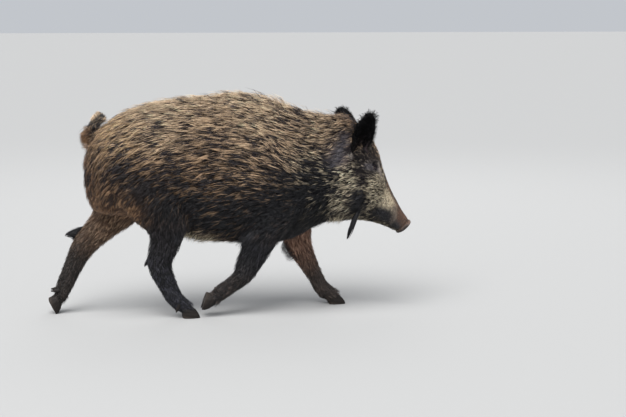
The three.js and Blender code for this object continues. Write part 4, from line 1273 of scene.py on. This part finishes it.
def bundle(roots, curve, out, taper, dark, light, share, uneven):
    """Long hair as coat_piece takes it: roots, centre lines, outward directions, widths and colours."""
    n = len(roots)
    taper = taper * RNG.uniform(0.8, 1.2, n)[:, None]
    tip = np.where((RNG.random(n) < share)[:, None], light, dark * TIP_TONE)
    bright = RNG.normal(1, uneven, n).clip(0.6, 1.4)[:, None, None]
    colour = shaded(dark * 0.8, tip, step(0.1, 0.8, np.linspace(0, 1, 4))[None], bright)
    return roots, curve, np.repeat(out[:, None], 4, 1), taper, colour


def fringes(tree):
    """Every fringe and the hair over the hooves, as coat_piece takes them."""
    found = []
    t = np.linspace(0, 1, 4)[None, :, None]
    for name, (marks, spread, count, way, length, droop, dark, light, share, sides) in FRINGES.items():
        for side in sides:
            line = line_of(marks, side)
            where = RNG.random(count) * (len(line) - 1)
            j = where.astype(int).clip(0, max(len(line) - 2, 0))
            ahead = line[np.minimum(j + 1, len(line) - 1)]
            start = line[j] + (ahead - line[j]) * (where - j)[:, None]
            start = start + RNG.normal(0, spread * MM / 2, (count, 3))
            roots, out, _ = on_skin(tree, start, (0.0, side, 0.0), 0.3)
            lock = RNG.integers(0, max(count // LOCK.get(name, LOOSE), 1), count)
            together, apart = RNG.normal(0, 0.16, (count, 3))[lock], RNG.normal(0, 0.07, (count, 3))
            bend = LOCK_BEND * apart if name in LOCK else together + apart
            heading = unit(unit(np.array(way, float) * (1, side, 1)) + bend)[:, None]
            hair = length * MM * RNG.uniform(0.55, 1.1, count)
            fall = np.array([0, 0, -1.0]) * droop
            curve = (roots - out * ROOT_SINK)[:, None] + hair[:, None, None] * (heading * t + fall * t**2)
            middle = np.empty_like(curve)
            for i in np.unique(lock):
                middle[lock == i] = curve[lock == i].mean(0)
            curve = curve + (middle - curve) * (LOCK_PULL * t if name in LOCK else LOOSE_PULL * t**2)
            taper = (0.0009 + 0.022 * hair)[:, None] * (1.0, 0.8, 0.5, 0.1)
            found.append(bundle(roots, curve, out, taper, dark[None], light, share, 0.13))
    found.append(hoof_hair(tree))
    return [np.concatenate(group) for group in zip(*found)]


def hoof_hair(tree):
    """The hair of the pastern that hangs over the hooves and the dewclaws' roots."""
    skin_co = coordinates(skin.data)
    groups = []
    t = np.linspace(0, 1, 4)
    for leg, (side, joints) in LEGS.items():
        distance, place, _, heading = line_place(skin_co, line_of(joints, side))
        picks = RNG.choice(np.flatnonzero((place > 6.9) & (distance < 0.05)), HOOF_HAIRS)
        start = skin_co[picks] + RNG.normal(0, 0.002, (HOOF_HAIRS, 3))
        roots, out, _ = on_skin(tree, start, (0.0, 0.0, 1.0), 0.05)
        way = unit(heading[picks] + 0.25 * out + RNG.normal(0, 0.12, (HOOF_HAIRS, 3)))
        hair = RNG.uniform(0.013, 0.024, HOOF_HAIRS)
        curve = (roots - out * ROOT_SINK)[:, None] + (hair[:, None] * t)[:, :, None] * way[:, None]
        horn = tree_of(bpy.data.objects["claws_" + leg])
        for hairline in curve:
            for k in (1, 2, 3):
                hit, normal, _, _ = horn.find_nearest(hairline[k].tolist(), 0.02)
                if hit is not None and (Vector(hairline[k]) - hit).dot(normal) < HOOF_GAP:
                    hairline[k] = hit + normal * HOOF_GAP
        curve[:, 1:, 2] = np.maximum(curve[:, 1:, 2], 0.001)
        coat, _ = coat_at(roots)
        taper = (0.0008 + 0.04 * hair)[:, None] * (1.0, 0.9, 0.6, 0.1)
        colours = coat[:, DARK], coat[:, LIGHT], coat[:, SHARE]
        groups.append(bundle(roots, curve, out, taper, *colours, 0.12))
    return [np.concatenate(group) for group in zip(*groups)]


FAR = math.inf
# Each zone's name, least and greatest x and greatest height, and whether it is parted in right and left,
# in the order in which they take their roots.
ZONES = (
    ("face", 436, FAR, FAR, True),
    ("jowl", 330, FAR, FAR, True),
    ("fore_legs", -60, FAR, 250, False),
    ("hind_leg", -FAR, -170, 360, True),
    ("shoulder", 90, FAR, FAR, True),
    ("ribs", -170, FAR, FAR, True),
    ("rump", -FAR, FAR, FAR, True),
)
SEGMENTS = {"right_jowl": 3, "left_jowl": 3}  # the other pieces' tufts have 2


def pieces(roots):
    """Each coat piece's name and the roots that are its own."""
    x, y, z = roots.T
    free = ear_place(roots)[0] == 0
    yield "ears", ~free
    for name, low, high, top, parted in ZONES:
        zone = (x > x_at(low)) & (x < x_at(high)) & (z < top * MM)
        for side in ("right_", "left_") if parted else ("",):
            mine = free & zone & ((y < 0) | (side != "right_"))
            free = free & ~mine
            yield side + name, mine


COARSE = remeshed(skin, UNWRAP_VOXEL)
skin_tree = tree_of(skin)
roots, out = scatter()
for name, mine in pieces(roots):
    coat_piece("coat_" + name, *grow(skin_tree, roots[mine], out[mine], SEGMENTS.get(name, 2)))
coat_piece("coat_fringes", *fringes(skin_tree))
